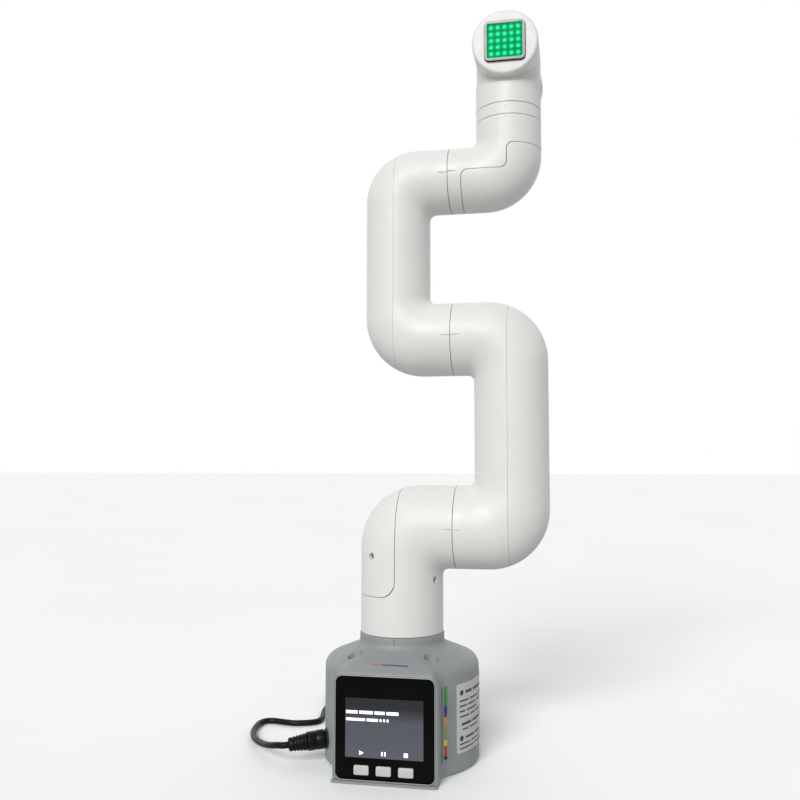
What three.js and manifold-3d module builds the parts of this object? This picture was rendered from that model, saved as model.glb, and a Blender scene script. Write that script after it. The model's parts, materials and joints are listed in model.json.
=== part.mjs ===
// Desktop six-axis collaborative robot arm, standing upright in its zero pose.
// Millimetres, +Z up. The origin is the middle of the base's underside, below the first joint's axis.
// The screen in the base faces -Y and +X is to the right of somebody who looks at the screen.
import * as THREE from 'three';
import { mergeVertices } from 'three/addons/utils/BufferGeometryUtils.js';
import Module from 'manifold-3d';

const wasm = await Module();
wasm.setup();

// ---- Driving dimensions -------------------------------------------------------------------

const GAP = 0.3; // between pieces that touch on the real arm
const WALL = 2; // of the arm's plastic shells
const HALF_GAP = GAP / 2;

// Joint axes. Joints 2, 3 and 4 turn about lines along X, joint 6 about a line along Y.
const J2_Z = 131.56;
const J3_Z = J2_Z + 110.4;
const J4_Z = J3_Z + 96;
const J6_Z = J4_Z + 73.18;
const UPPER_ARM_X = 64.9; // vertical run of the upper arm
const FOREARM_X = -2.5; // vertical run of the forearm
const WRIST_X = 64.62; // vertical run of the wrist, which is joint 5's axis
const FLANGE_Y = 45.6; // tool face

// Seams where one link turns against the next.
const J1_SEAM_Z = 71.3;
const J2_SEAM_X = 33;
const J3_SEAM_X = 31.7;
const J4_SEAM_X = 30.1;
const J5_SEAM_Z = 370.3;
const BAND_TOP_Z = 377.7;

// Tube radii, large to small up the arm, and the fillets of the elbows.
const R_LARGE = 24.1;
const R_MIDDLE = 21.6;
const R_SMALL = 19.25;
const INNER_FILLET = 4;
const OUTER_LARGE = 35;
const OUTER_SMALL = 30.5;
const WRIST_OUTER = 32.5;

// Base housing.
const BASE_R = 44.6;
const BASE_WALL = 3;
const SHOULDER_FILLET = 7; // where the side turns into the sloping roof
const SHOULDER_Z = 52.1; // top of the upright side
const ROOF_SLOPE = Math.atan(0.4);
const COLLAR_R = 24.6;
const COLLAR_BORE = 20;
const COLLAR_FILLET = 4; // where the roof turns up into the collar
const COLLAR_Z = 67.6; // where the collar is upright
const BLOCK_HALF = 28.8; // half the width of the front block
const FRONT_Y = -47.8;
const BLOCK_TOP = 56.7; // at the front, from where the block's roof slopes up
const BLOCK_ROOF_BACK = -38; // where the block's roof stops rising
const LIP_FRONT = -50.5; // low lip along the block's foot, in front of the screen
const LIP_TOP = 1.3;
const PLATE_TOP = 1.8;
const BASE_SCREW_X = 21.6;
const BASE_SCREW_Y = 25.6;
const BASE_SCREW_FLOOR = 55;

// Controller in the front block.
const CONTROLLER = 54.6;
const CONTROLLER_Z = 28.4;
const CONTROLLER_BACK = -36;
const CONTROLLER_CORNER = 4;
const BUTTON_PITCH = 12.05;
const BUTTON_MID_X = -0.5;
const BUTTON_Z = 6.7;
const BUTTON_WIDTH = 8.2;
const BUTTON_HEIGHT = 5;

// Head.
const HEAD_R = 19.2;
const HEAD_FRONT = -24;
const HEAD_BACK = 34;
const LED_CASE = 23.4;
const LED_WINDOW = 20;
const LED_PROUD = 1.6;

// Power lead.
const CORD_R = 1.8;
const CORD_Z = 2; // centreline of a lead that lies on the table
const JACK_ANGLE = THREE.MathUtils.degToRad(207);
const JACK_Z = 13.2;
const PLUG_DROOP = THREE.MathUtils.degToRad(4.5);
const COIL = new THREE.Vector3(-51, 112, 0);
const COIL_MID_R = 19;
const COIL_HALF_WIDTH = 5.5;
const COIL_HEIGHT = 7.5;
const ADAPTER = new THREE.Vector3(1, 60.5, 12);
const ADAPTER_SIZE = new THREE.Vector3(38, 26, 23.8);
const ADAPTER_RELIEF_Z = 7;
const ADAPTER_RELIEF_LENGTH = 16;

const ROUND = 28; // sides of an ordinary round piece
const BASE_SIDES = 40;
const TUBE = 20; // sides of an arm tube
const ELBOW_STEPS = 5;

// ---- Materials ----------------------------------------------------------------------------

function material(color, roughness, metalness = 0) {
  return new THREE.MeshStandardMaterial({ color, roughness, metalness });
}

const armWhite = material(0xe6e5e1, 0.42);
const baseGrey = material(0x8c9292, 0.5);
const darkPlastic = material(0x1b1c1e, 0.45);
const glassBlack = material(0x08090b, 0.08);
const screenGrey = material(0x50535a, 0.2);
const buttonGrey = material(0xc9c8c6, 0.5);
const labelPaper = material(0xd9d9d6, 0.6);
const labelColours = material(0x3f9a45, 0.6);
const boardGreen = material(0x1f5a36, 0.55);
const servoBlack = material(0x26282b, 0.5);
const bareMetal = material(0xb9bcbf, 0.32, 1);
const ledGreen = material(0x06b56a, 0.3);
const ledBezel = material(0xbfc8c3, 0.4);
const leadBlack = material(0x121213, 0.5);
const tieBlack = material(0x1d1d1f, 0.6);

// ---- Helpers ------------------------------------------------------------------------------

const group = new THREE.Group();

/** Turns a closed three.js geometry into a solid. */
function solid(geometry) {
  const bare = geometry.clone();
  bare.deleteAttribute('normal');
  bare.deleteAttribute('uv');
  const merged = mergeVertices(bare, 1e-4);
  const triVerts = Uint32Array.from(merged.index.array);
  const vertProperties = Float32Array.from(merged.attributes.position.array);
  return new wasm.Manifold(new wasm.Mesh({ numProp: 3, vertProperties, triVerts }));
}

/** Turns a solid back into a geometry. */
function geometryOf(body) {
  const { vertProperties, triVerts } = body.getMesh();
  const geometry = new THREE.BufferGeometry();
  geometry.setAttribute('position', new THREE.BufferAttribute(vertProperties, 3));
  geometry.setIndex(new THREE.BufferAttribute(triVerts, 1));
  geometry.computeVertexNormals();
  return geometry;
}

function addMesh(name, shape, look) {
  const geometry = shape.isBufferGeometry ? shape : geometryOf(shape);
  const mesh = new THREE.Mesh(geometry, look);
  mesh.name = name;
  group.add(mesh);
  return mesh;
}

/** Turned piece about Z. The profile is a list of [radius, z]. */
function lathe(profile, sides = ROUND) {
  const points = profile.map(([r, z]) => new THREE.Vector2(r, z));
  return new THREE.LatheGeometry(points, sides).rotateX(Math.PI / 2);
}

function disc(radius, low, high, sides = ROUND) {
  return lathe([[0, low], [radius, low], [radius, high], [0, high]], sides);
}

function ring(inner, outer, low, high, sides = ROUND) {
  return lathe([[inner, low], [outer, low], [outer, high], [inner, high], [inner, low]], sides);
}

/** Turns a piece made about Z so that its axis lies along X, and puts it at a height. */
function alongX(geometry, z) {
  return geometry.rotateY(Math.PI / 2).translate(0, 0, z);
}

/** Turns a piece made about Z so that its axis lies along Y, and puts it on joint 6's axis. */
function alongJ6(geometry) {
  return geometry.rotateX(-Math.PI / 2).translate(WRIST_X, 0, J6_Z);
}

/** Box between two corners. */
function box(low, high) {
  const size = high.map((value, i) => value - low[i]);
  const middle = high.map((value, i) => (value + low[i]) / 2);
  return new THREE.BoxGeometry(...size).translate(...middle);
}

const PLANES = {
  xy: [[1, 0, 0], [0, 1, 0], [0, 0, 1]],
  xz: [[1, 0, 0], [0, 0, 1], [0, -1, 0]],
  yz: [[0, 1, 0], [0, 0, 1], [1, 0, 0]],
};

/** Extrudes an outline drawn in one plane between two values of the third axis. */
function extrude(shape, plane, from, to, curveSegments = 6) {
  const options = { depth: to - from, bevelEnabled: false, curveSegments };
  const [a, b, c] = PLANES[plane].map((axis) => new THREE.Vector3(...axis));
  const start = plane === 'xz' ? to : from;
  const shift = new THREE.Vector3(Math.abs(c.x), Math.abs(c.y), Math.abs(c.z)).multiplyScalar(start);
  const matrix = new THREE.Matrix4().makeBasis(a, b, c).setPosition(shift);
  return new THREE.ExtrudeGeometry(shape, options).applyMatrix4(matrix);
}

/** Closed outline with the same fillet at every corner whose third value isn't 0. */
function outline(corners, fillet) {
  const shape = new THREE.Shape();
  const count = corners.length;
  const point = (i) => new THREE.Vector2(...corners[(i + count) % count].slice(0, 2));
  for (let i = 0; i < count; i += 1) {
    const corner = point(i);
    const round = corners[i][2] ?? fillet;
    const into = point(i - 1).sub(corner).setLength(round).add(corner);
    const out = point(i + 1).sub(corner).setLength(round).add(corner);
    if (i === 0) shape.moveTo(into.x, into.y);
    else shape.lineTo(into.x, into.y);
    if (round > 0) shape.quadraticCurveTo(corner.x, corner.y, out.x, out.y);
  }
  return shape;
}

function roundedRectangle(width, height, fillet, x = 0, y = 0) {
  const [w, h] = [width / 2, height / 2];
  return outline([[x - w, y - h], [x + w, y - h], [x + w, y + h], [x - w, y + h]], fillet);
}

/** Closed body through rings of points that all have the same count. */
function loft(rings) {
  const count = rings[0].length;
  const positions = rings.flat().flatMap((p) => [p.x, p.y, p.z]);
  const index = [];
  for (let j = 0; j + 1 < rings.length; j += 1) {
    for (let i = 0; i < count; i += 1) {
      const next = (i + 1) % count;
      const [a, b] = [j * count + i, j * count + next];
      index.push(a, b, b + count, a, b + count, a + count);
    }
  }
  const last = (rings.length - 1) * count;
  for (let i = 1; i + 1 < count; i += 1) {
    index.push(0, i + 1, i);
    index.push(last, last + i, last + i + 1);
  }
  const geometry = new THREE.BufferGeometry();
  geometry.setAttribute('position', new THREE.Float32BufferAttribute(positions, 3));
  geometry.setIndex(index);
  return geometry;
}

// ---- Arm tubes ----------------------------------------------------------------------------

const SIDE = new THREE.Vector3(0, 1, 0); // every elbow bends in the XZ plane

/** Ellipse of points about a middle, with one half-width along a direction and the other along Y. */
function section(middle, direction, along, across) {
  const points = [];
  for (let i = 0; i < TUBE; i += 1) {
    const angle = (2 * Math.PI * i) / TUBE;
    const point = middle.clone();
    point.addScaledVector(direction, along * Math.cos(angle));
    point.addScaledVector(SIDE, across * Math.sin(angle));
    points.push(point);
  }
  return points;
}

/** Distance from the inner fillet's centre to the outside of an elbow, along a ray at an angle. */
function reach(angle, first, second, inner, outer) {
  const [s, c] = [Math.sin(angle), Math.cos(angle)];
  const toFirst = 2 * first + inner;
  const toSecond = 2 * second + inner;
  const [x, y] = [toSecond - outer, toFirst - outer];
  if (toFirst * s <= x * c) return toFirst / c;
  if (toSecond * c <= y * s) return toSecond / s;
  const middle = x * s + y * c;
  return middle + Math.sqrt(middle * middle + outer * outer - x * x - y * y);
}

/**
 * Rings round one elbow. The tube comes in along one direction with the first radius and goes out
 * along another with the second. Every ring's plane holds the centre of the inner fillet.
 */
function elbowRings({ at, into, out, first, second, outer }, skin) {
  const [r1, r2] = [first - skin, second - skin];
  const [inner, outside] = [INNER_FILLET + skin, outer - skin];
  const pivot = at.clone();
  pivot.addScaledVector(into, -(r2 + inner));
  pivot.addScaledVector(out, r1 + inner);
  const rings = [];
  for (let step = 0; step <= ELBOW_STEPS; step += 1) {
    const t = step / ELBOW_STEPS;
    const angle = (t * Math.PI) / 2;
    const direction = out.clone().multiplyScalar(-Math.cos(angle)).addScaledVector(into, Math.sin(angle));
    const along = (reach(angle, r1, r2, inner, outside) - inner) / 2;
    const across = THREE.MathUtils.lerp(r1, r2, THREE.MathUtils.smoothstep(t, 0, 1));
    const middle = pivot.clone().addScaledVector(direction, inner + along);
    rings.push(section(middle, direction, along, across));
  }
  return rings;
}

/** Bent tube through its elbows, open at both ends. */
function tube(start, end, elbows) {
  const first = elbows[0];
  const last = elbows[elbows.length - 1];
  const turnsBack = SIDE.clone().cross(first.out).dot(first.into) < 0; // rings then run the other way round
  function skinAt(skin, extra) {
    const from = start.clone().addScaledVector(first.into, -extra);
    const to = end.clone().addScaledVector(last.out, extra);
    const startRing = section(from, first.out.clone().negate(), first.first - skin, first.first - skin);
    const endRing = section(to, last.into, last.second - skin, last.second - skin);
    const bends = elbows.flatMap((elbow) => elbowRings(elbow, skin));
    const rings = [startRing, ...bends, endRing];
    return solid(loft(rings.map((points) => (turnsBack ? points.slice().reverse() : points))));
  }
  return skinAt(0, 0).subtract(skinAt(WALL, 1));
}

const RIGHT = new THREE.Vector3(1, 0, 0);
const LEFT = new THREE.Vector3(-1, 0, 0);
const UP = new THREE.Vector3(0, 0, 1);

/** Place in the arm's middle plane. */
const at = (x, z) => new THREE.Vector3(x, 0, z);

/** Cutter through the whole depth of the arm from an outline in the XZ plane. */
function cutter(corners, fillet) {
  return solid(extrude(outline(corners, fillet), 'xz', -60, 60));
}

/**
 * Splits a tube into the part inside an outline, the cover, and the part outside it, the shell.
 * corners gives the outline drawn in by an amount.
 */
function splitTube(body, corners, fillet) {
  return {
    cover: body.intersect(cutter(corners(HALF_GAP), fillet)),
    shell: body.subtract(cutter(corners(-HALF_GAP), fillet)),
  };
}

/** Small servo: a case with a round nose that faces the joint. */
function servo(width, depth, low, high, nose) {
  const body = solid(box([-width / 2, -depth / 2, low], [width / 2, depth / 2, high]));
  return geometryOf(body.add(solid(disc(7, high - 1, high + nose, 20))));
}

/** Output disc inside the driven link, with a hub that reaches back to the servo. */
function horn(hubRadius, hubFrom, discRadius, discFrom, thickness = 3) {
  return lathe([
    [0, hubFrom],
    [hubRadius, hubFrom],
    [hubRadius, discFrom],
    [discRadius, discFrom],
    [discRadius, discFrom + thickness],
    [0, discFrom + thickness],
  ], 24);
}

// ---- Base ---------------------------------------------------------------------------------

/** Side, shoulder and sloping roof of the round body, drawn in by a wall's thickness. */
function roundProfile(shrink, bottom) {
  const rim = 1.4;
  const profile = [[0, bottom], [BASE_R - rim - shrink, bottom], [BASE_R - shrink, bottom + rim]];
  const upright = Math.PI / 2 - ROOF_SLOPE;
  const steps = 4;
  for (let i = 0; i <= steps; i += 1) {
    const angle = (i / steps) * upright;
    const radius = SHOULDER_FILLET - shrink;
    const r = BASE_R - SHOULDER_FILLET + radius * Math.cos(angle);
    profile.push([r, SHOULDER_Z + radius * Math.sin(angle)]);
  }
  const collarSteps = shrink > 0 ? 0 : 3;
  for (let i = 0; i <= collarSteps; i += 1) {
    const angle = upright * (1 - i / 3);
    const radius = COLLAR_FILLET + shrink;
    const r = COLLAR_R + COLLAR_FILLET - radius * Math.cos(angle);
    profile.push([r, COLLAR_Z - radius * Math.sin(angle)]);
  }
  if (shrink === 0) {
    profile.push([COLLAR_R, J1_SEAM_Z - GAP]);
  }
  profile.push([0, profile.at(-1)[1]]);
  return profile;
}

/** Outside of the housing: the round body with its collar, and the block that holds the screen. */
function baseOutside(shrink, bottom) {
  const round = solid(lathe(roundProfile(shrink, bottom), BASE_SIDES));
  const half = BLOCK_HALF - shrink;
  const top = BLOCK_TOP + (BLOCK_ROOF_BACK - FRONT_Y) / 3 - shrink;
  const front = FRONT_Y + shrink;
  const facing = outline([[-half, bottom, 0], [half, bottom, 0], [half, top], [-half, top]], 9);
  const side = [
    [front, bottom],
    [0, bottom],
    [0, 50],
    [BLOCK_ROOF_BACK, top],
    [front + 2, BLOCK_TOP - shrink + 0.6],
    [front, BLOCK_TOP - shrink - 1.4],
  ];
  const block = solid(extrude(facing, 'xz', front, 0));
  return round.add(block.intersect(solid(extrude(outline(side, 0), 'yz', -60, 60))));
}

const baseScrewPlaces = [[-1, -1], [1, -1], [1, 1], [-1, 1]].map(([x, y]) => [
  x * BASE_SCREW_X,
  y * BASE_SCREW_Y,
]);

/** Direction out of the power socket, and a piece made about Z turned to lie along it. */
const jackOut = new THREE.Vector3(Math.cos(JACK_ANGLE), Math.sin(JACK_ANGLE), 0);
function alongJack(geometry, droop = 0) {
  const direction = jackOut.clone().multiplyScalar(Math.cos(droop)).setZ(-Math.sin(droop));
  const turn = new THREE.Quaternion().setFromUnitVectors(UP, direction);
  const place = jackOut.clone().multiplyScalar(BASE_R).setZ(JACK_Z);
  return geometry.applyQuaternion(turn).translate(place.x, place.y, place.z);
}

const HEADER_LOW = 8.5;
const HEADER_HIGH = 48;
const HEADER_Y = -36;
const HEADER_SLOT = 2.6;

function addHousing() {
  const outside = baseOutside(0, GAP);
  let body = outside.subtract(baseOutside(BASE_WALL, -5));
  body = body.add(solid(ring(COLLAR_BORE, COLLAR_R, 57, COLLAR_Z - 1)));
  for (const [x, y] of baseScrewPlaces) {
    body = body.add(solid(disc(6, 20, 70, 12).translate(x, y, 0)).intersect(outside));
    body = body.subtract(solid(disc(3.8, BASE_SCREW_FLOOR, 80, 14).translate(x, y, 0)));
    body = body.subtract(solid(disc(1.8, 10, 80, 8).translate(x, y, 0)));
  }
  body = body.subtract(solid(disc(COLLAR_BORE, 40, 90)));
  const opening = roundedRectangle(CONTROLLER + 0.6, CONTROLLER + 0.6, CONTROLLER_CORNER, 0, CONTROLLER_Z);
  body = body.subtract(solid(extrude(opening, 'xz', -60, CONTROLLER_BACK + 0.8)));
  body = body.add(solid(box([-BLOCK_HALF, LIP_FRONT, GAP], [BLOCK_HALF, FRONT_Y + 1, GAP + 0.4])));
  body = body.add(solid(box([-BLOCK_HALF, LIP_FRONT, GAP], [BLOCK_HALF, FRONT_Y - GAP, LIP_TOP])));
  const slotY = [HEADER_Y - HEADER_SLOT / 2, HEADER_Y + HEADER_SLOT / 2];
  body = body.subtract(solid(box([20, slotY[0], HEADER_LOW], [40, slotY[1], HEADER_HIGH])));
  body = body.subtract(solid(alongJack(disc(5.8, -12, 8, 16))));
  body = body.subtract(solid(box([-40, -43.5, 22], [-20, -36, 26.5])));
  addMesh('base_housing', body, baseGrey);
}

function addBasePlate() {
  const inset = 3.4;
  const round = solid(disc(BASE_R - inset, 0, PLATE_TOP, BASE_SIDES));
  const behindScreen = solid(box([-60, CONTROLLER_BACK + 1, -1], [60, 60, PLATE_TOP + 1]));
  addMesh('base_plate', round.intersect(behindScreen), bareMetal);
}

function addBaseScrews() {
  baseScrewPlaces.forEach(([x, y], i) => {
    const top = BASE_SCREW_FLOOR + 3.2;
    const profile = [
      [0, 14],
      [1.4, 14],
      [1.4, BASE_SCREW_FLOOR + GAP],
      [3.2, BASE_SCREW_FLOOR + GAP],
      [3.2, top],
      [1.3, top],
      [1.3, top - 1.6],
      [0, top - 1.6],
    ];
    addMesh(`base_screw_${i + 1}`, lathe(profile, 8).translate(x, y, 0), bareMetal);
  });
}

function addFirstDrive() {
  addMesh('j1_servo', servo(34, 25, 22, 56, 2), servoBlack);
  addMesh('j1_bearing', ring(15, COLLAR_BORE - GAP, 61.5, 69.5), bareMetal);
}

// ---- Controller ---------------------------------------------------------------------------

const caseOuter = (shrink) =>
  roundedRectangle(CONTROLLER - shrink * 2, CONTROLLER - shrink * 2, CONTROLLER_CORNER, 0, CONTROLLER_Z);
const GLASS_FRONT = FRONT_Y + 0.2;
const GLASS_BACK = GLASS_FRONT + 1.6;
const buttonX = [-1, 0, 1].map((i) => BUTTON_MID_X + i * BUTTON_PITCH);

function addController() {
  const shell = solid(extrude(caseOuter(0), 'xz', FRONT_Y, CONTROLLER_BACK));
  const inside = solid(extrude(caseOuter(1.4), 'xz', FRONT_Y - 5, CONTROLLER_BACK - 1.6));
  const glassSeat = solid(extrude(caseOuter(0.4), 'xz', FRONT_Y - 5, GLASS_BACK + 0.1));
  const headerWay = solid(box([20, HEADER_Y - 2, HEADER_LOW], [40, HEADER_Y + 3, HEADER_HIGH]));
  const usbWay = solid(box([-40, -42.7, 22.6], [-20, -37.6, 25.9]));
  const hollow = shell.subtract(inside).subtract(glassSeat);
  addMesh('controller_case', hollow.subtract(headerWay).subtract(usbWay), buttonGrey);

  let glass = solid(extrude(caseOuter(0.5), 'xz', GLASS_FRONT, GLASS_BACK));
  for (const x of buttonX) {
    const hole = roundedRectangle(BUTTON_WIDTH + 0.6, BUTTON_HEIGHT + 0.6, 1, x, BUTTON_Z);
    glass = glass.subtract(solid(extrude(hole, 'xz', -60, -40, 3)));
  }
  addMesh('display_glass', glass, glassBlack);
  addMesh('lcd_panel', box([-22.5, GLASS_BACK + GAP, 12.4], [22.5, GLASS_BACK + 2.6, 45]), screenGrey);
  addMesh('controller_board', box([-24, -40.6, 6], [24, -39.2, 52]), boardGreen);
  addMesh('pin_header', box([24.8, HEADER_Y - 1, 9], [28.2, HEADER_Y + 1, 47.5]), darkPlastic);
  addMesh('usb_port', box([-27.4, -42.4, 22.9], [-24.3, -38.2, 25.6]), bareMetal);
  ['left', 'middle', 'right'].forEach((side, i) => {
    const cap = roundedRectangle(BUTTON_WIDTH, BUTTON_HEIGHT, 0.9, buttonX[i], BUTTON_Z);
    addMesh(`button_${side}`, extrude(cap, 'xz', FRONT_Y - 0.5, GLASS_BACK + 1.2, 3), buttonGrey);
  });
}

/** Sector of a thin ring round the base, for the labels. */
function curvedStrip(fromDegrees, toDegrees, low, high) {
  const [from, to] = [fromDegrees, toDegrees].map(THREE.MathUtils.degToRad);
  const [inner, outer] = [BASE_R + 0.12, BASE_R + 0.42];
  const shape = new THREE.Shape();
  shape.absarc(0, 0, outer, from, to, false);
  shape.absarc(0, 0, inner, to, from, true);
  const steps = Math.max(2, Math.ceil((toDegrees - fromDegrees) / 7));
  return extrude(shape, 'xy', low, high, steps);
}

function addLabels() {
  addMesh('header_label', curvedStrip(-49.2, -46, 9.9, 48.2), labelColours);
  addMesh('rating_label', curvedStrip(-37, 32, 10.8, 47.9), labelPaper);
}

// ---- Power lead ---------------------------------------------------------------------------

const PLUG_LENGTH = 11.2;
const BOOT_LENGTH = 10;

/** Route of the lead from the plug's boot, round its loop, to the coil behind the base. */
const leadPoints = [
  [-61.3, -31, 11.3],
  [-65.4, -29.5, 10.7],
  [-69.8, -26.3, 9.4],
  [-75.6, -20.3, 7.5],
  [-82.3, -11.2, 5.4],
  [-89.1, -0.9, 3.6],
  [-95.0, 10.3, 2.3],
  [-98.6, 19.8, CORD_Z],
  [-100.1, 28.0, CORD_Z],
  [-100.5, 35.4, CORD_Z],
  [-98.3, 40.5, CORD_Z],
  [-94.1, 42.0, CORD_Z],
  [-89.6, 41.5, CORD_Z],
  [-84.2, 40.3, CORD_Z],
  [-78.6, 39.8, CORD_Z],
  [-73.6, 41.0, CORD_Z],
  [-68.6, 43.0, CORD_Z],
  [-65.4, 45.8, CORD_Z],
  [-64.3, 50.4, CORD_Z],
  [-65.1, 56.9, CORD_Z],
  [-66.6, 64.0, CORD_Z],
  [-67.8, 71.5, CORD_Z],
  [-68.4, 79.5, CORD_Z],
  [-70, 87.5, CORD_Z],
  [-71.8, 95, CORD_Z],
];

/** Route of the lead from the coil to the mains adapter's strain relief. */
const tailPoints = [
  [-28.5, 97, 4.8],
  [-29.4, 91, 3.2],
  [-32.4, 85.4, 2.2],
  [-37, 80.6, CORD_Z],
  [-42, 76, CORD_Z],
  [-45.2, 70.6, 2.4],
  [-44.2, 64.8, 4.0],
  [-39.6, 61.2, 5.9],
  [ADAPTER.x - ADAPTER_SIZE.x / 2 - ADAPTER_RELIEF_LENGTH - 2 * GAP, ADAPTER.y, ADAPTER_RELIEF_Z - 0.3],
];

function addTube(name, points, steps) {
  const curve = new THREE.CatmullRomCurve3(points, false, 'centripetal');
  const shape = new THREE.Shape().absarc(0, 0, CORD_R, 0, 2 * Math.PI, false);
  const options = { steps, curveSegments: 4, extrudePath: curve, bevelEnabled: false };
  addMesh(name, new THREE.ExtrudeGeometry(shape, options), leadBlack);
}

function addLead() {
  addMesh('dc_jack', alongJack(ring(4, 5.5, -10, 0.7, 16)), darkPlastic);
  const plug = [[0, -6], [2.1, -6], [2.1, 1.3], [5.3, 1.3], [5, PLUG_LENGTH], [0, PLUG_LENGTH]];
  addMesh('dc_plug', alongJack(lathe(plug, 16), PLUG_DROOP), leadBlack);
  const bootLow = PLUG_LENGTH + GAP;
  const bootHigh = bootLow + BOOT_LENGTH;
  const boot = [[0, bootLow], [4.6, bootLow], [3.5, bootHigh], [0, bootHigh]];
  addMesh('plug_boot', alongJack(lathe(boot, 16), PLUG_DROOP), leadBlack);
  const exit = alongJack(new THREE.BufferGeometry().setFromPoints([at(0, bootHigh + GAP)]), PLUG_DROOP);
  const start = new THREE.Vector3().fromBufferAttribute(exit.attributes.position, 0);
  const vectors = (list) => list.map((point) => new THREE.Vector3(...point));
  addTube('power_cord_front', [start, ...vectors(leadPoints)], 36);
  addTube('power_cord_rear', vectors(tailPoints), 10);

  const coil = ring(COIL_MID_R - COIL_HALF_WIDTH, COIL_MID_R + COIL_HALF_WIDTH, 0.1, COIL_HEIGHT, 24);
  addMesh('cord_coil', coil.translate(COIL.x, COIL.y, COIL.z), leadBlack);
  const tieOut = COIL_HALF_WIDTH + 1.8;
  const tieIn = COIL_HALF_WIDTH + 0.8;
  const tieTop = COIL_HEIGHT + 1.2;
  const bridge = outline([
    [-tieOut, 0.1],
    [-tieIn, 0.1],
    [-tieIn, COIL_HEIGHT + GAP],
    [tieIn, COIL_HEIGHT + GAP],
    [tieIn, 0.1],
    [tieOut, 0.1],
    [tieOut, tieTop],
    [-tieOut, tieTop],
  ], 0);
  const tie = extrude(bridge, 'yz', -2.5, 2.5).translate(COIL.x, COIL.y - COIL_MID_R, 0);
  addMesh('coil_tie', tie, tieBlack);
}

function addAdapter() {
  const [low, high] = [-1, 1].map((side) => ADAPTER.clone().addScaledVector(ADAPTER_SIZE, side / 2));
  const side = roundedRectangle(ADAPTER_SIZE.y, ADAPTER_SIZE.z, 4, ADAPTER.y, ADAPTER.z);
  addMesh('adapter_body', extrude(side, 'yz', low.x, high.x), leadBlack);
  [-1, 1].forEach((way, i) => {
    const pin = disc(2.1, GAP, 17.5, 12).rotateY(Math.PI / 2);
    const [y, z] = [ADAPTER.y + way * 9, ADAPTER.z];
    addMesh(`adapter_pin_${i + 1}`, pin.translate(high.x, y, z), bareMetal);
  });
  const relief = lathe([
    [0, GAP],
    [3.6, GAP],
    [2.3, ADAPTER_RELIEF_LENGTH],
    [0, ADAPTER_RELIEF_LENGTH],
  ], 16);
  relief.rotateY(-Math.PI / 2).translate(low.x, ADAPTER.y, ADAPTER_RELIEF_Z);
  addMesh('adapter_relief', relief, leadBlack);
}

// ---- Shoulder, joint 1 to joint 2 ---------------------------------------------------------

function addShoulder() {
  const bend = { at: at(0, J2_Z), into: UP, out: RIGHT, first: R_LARGE, second: R_LARGE, outer: OUTER_LARGE };
  const body = tube(at(0, J1_SEAM_Z), at(J2_SEAM_X - HALF_GAP, J2_Z), [bend]);
  const low = 93;
  const { shell, cover } = splitTube(body, (d) => [
    [-50, low + d, 0],
    [0.3 - d, low + d],
    [0.3 - d, J2_Z + 60, 0],
    [-50, J2_Z + 60, 0],
  ], 9);
  const bosses = [
    { name: 'shoulder_screw_left', x: -14, y: -19.3, z: 115.7, from: cover },
    { name: 'shoulder_screw_right', x: 21.4, y: -10.9, z: 102.1, from: shell },
  ];
  const cut = {};
  for (const { name, x, y, z, from } of bosses) {
    const out = new THREE.Vector3(x, y, 0).normalize();
    const turn = new THREE.Quaternion().setFromUnitVectors(UP, out);
    const place = (geometry) => geometry.applyQuaternion(turn).translate(x, y, z);
    cut[name] = from.subtract(solid(place(disc(2, -6, 4, 14))));
    addMesh(name, place(lathe([[0, -4], [1.7, -4], [1.7, -1.2], [0, -1.2]], 12)), bareMetal);
  }
  addMesh('shoulder_cover', cut.shoulder_screw_left, armWhite);
  addMesh('shoulder_shell', cut.shoulder_screw_right, armWhite);
  addMesh('j1_horn', horn(14.6, 59.6, R_LARGE - WALL - 0.6, J1_SEAM_Z + 1.2), bareMetal);
  addMesh('j2_servo', alongX(servo(29, 24, 0, 27, 2), J2_Z), servoBlack);
}

// ---- Upper arm, joint 2 to joint 3 --------------------------------------------------------

function addUpperArm() {
  const low = {
    at: at(UPPER_ARM_X, J2_Z), into: RIGHT, out: UP, first: R_LARGE, second: R_MIDDLE, outer: OUTER_LARGE,
  };
  const high = {
    at: at(UPPER_ARM_X, J3_Z), into: UP, out: LEFT, first: R_MIDDLE, second: R_MIDDLE, outer: OUTER_LARGE,
  };
  const body = tube(at(J2_SEAM_X + HALF_GAP, J2_Z), at(J3_SEAM_X + HALF_GAP, J3_Z), [low, high]);
  const seam = 64;
  const { shell, cover } = splitTube(body, (d) => [
    [seam + d, J2_Z - 60, 0],
    [seam + 60, J2_Z - 60, 0],
    [seam + 60, J3_Z + 60, 0],
    [seam + d, J3_Z + 60, 0],
  ], 0);
  addMesh('upper_arm_shell', shell, armWhite);
  addMesh('upper_arm_cover', cover, armWhite);
  addMesh('j2_horn', alongX(horn(6, 29.4, R_LARGE - WALL - 0.6, J2_SEAM_X + 1.2), J2_Z), bareMetal);
  const drive = servo(25, 22, -62, -38, 2);
  addMesh('j3_servo', drive.rotateY(-Math.PI / 2).translate(0, 0, J3_Z), servoBlack);
}

// ---- Forearm, joint 3 to joint 4 ----------------------------------------------------------

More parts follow.
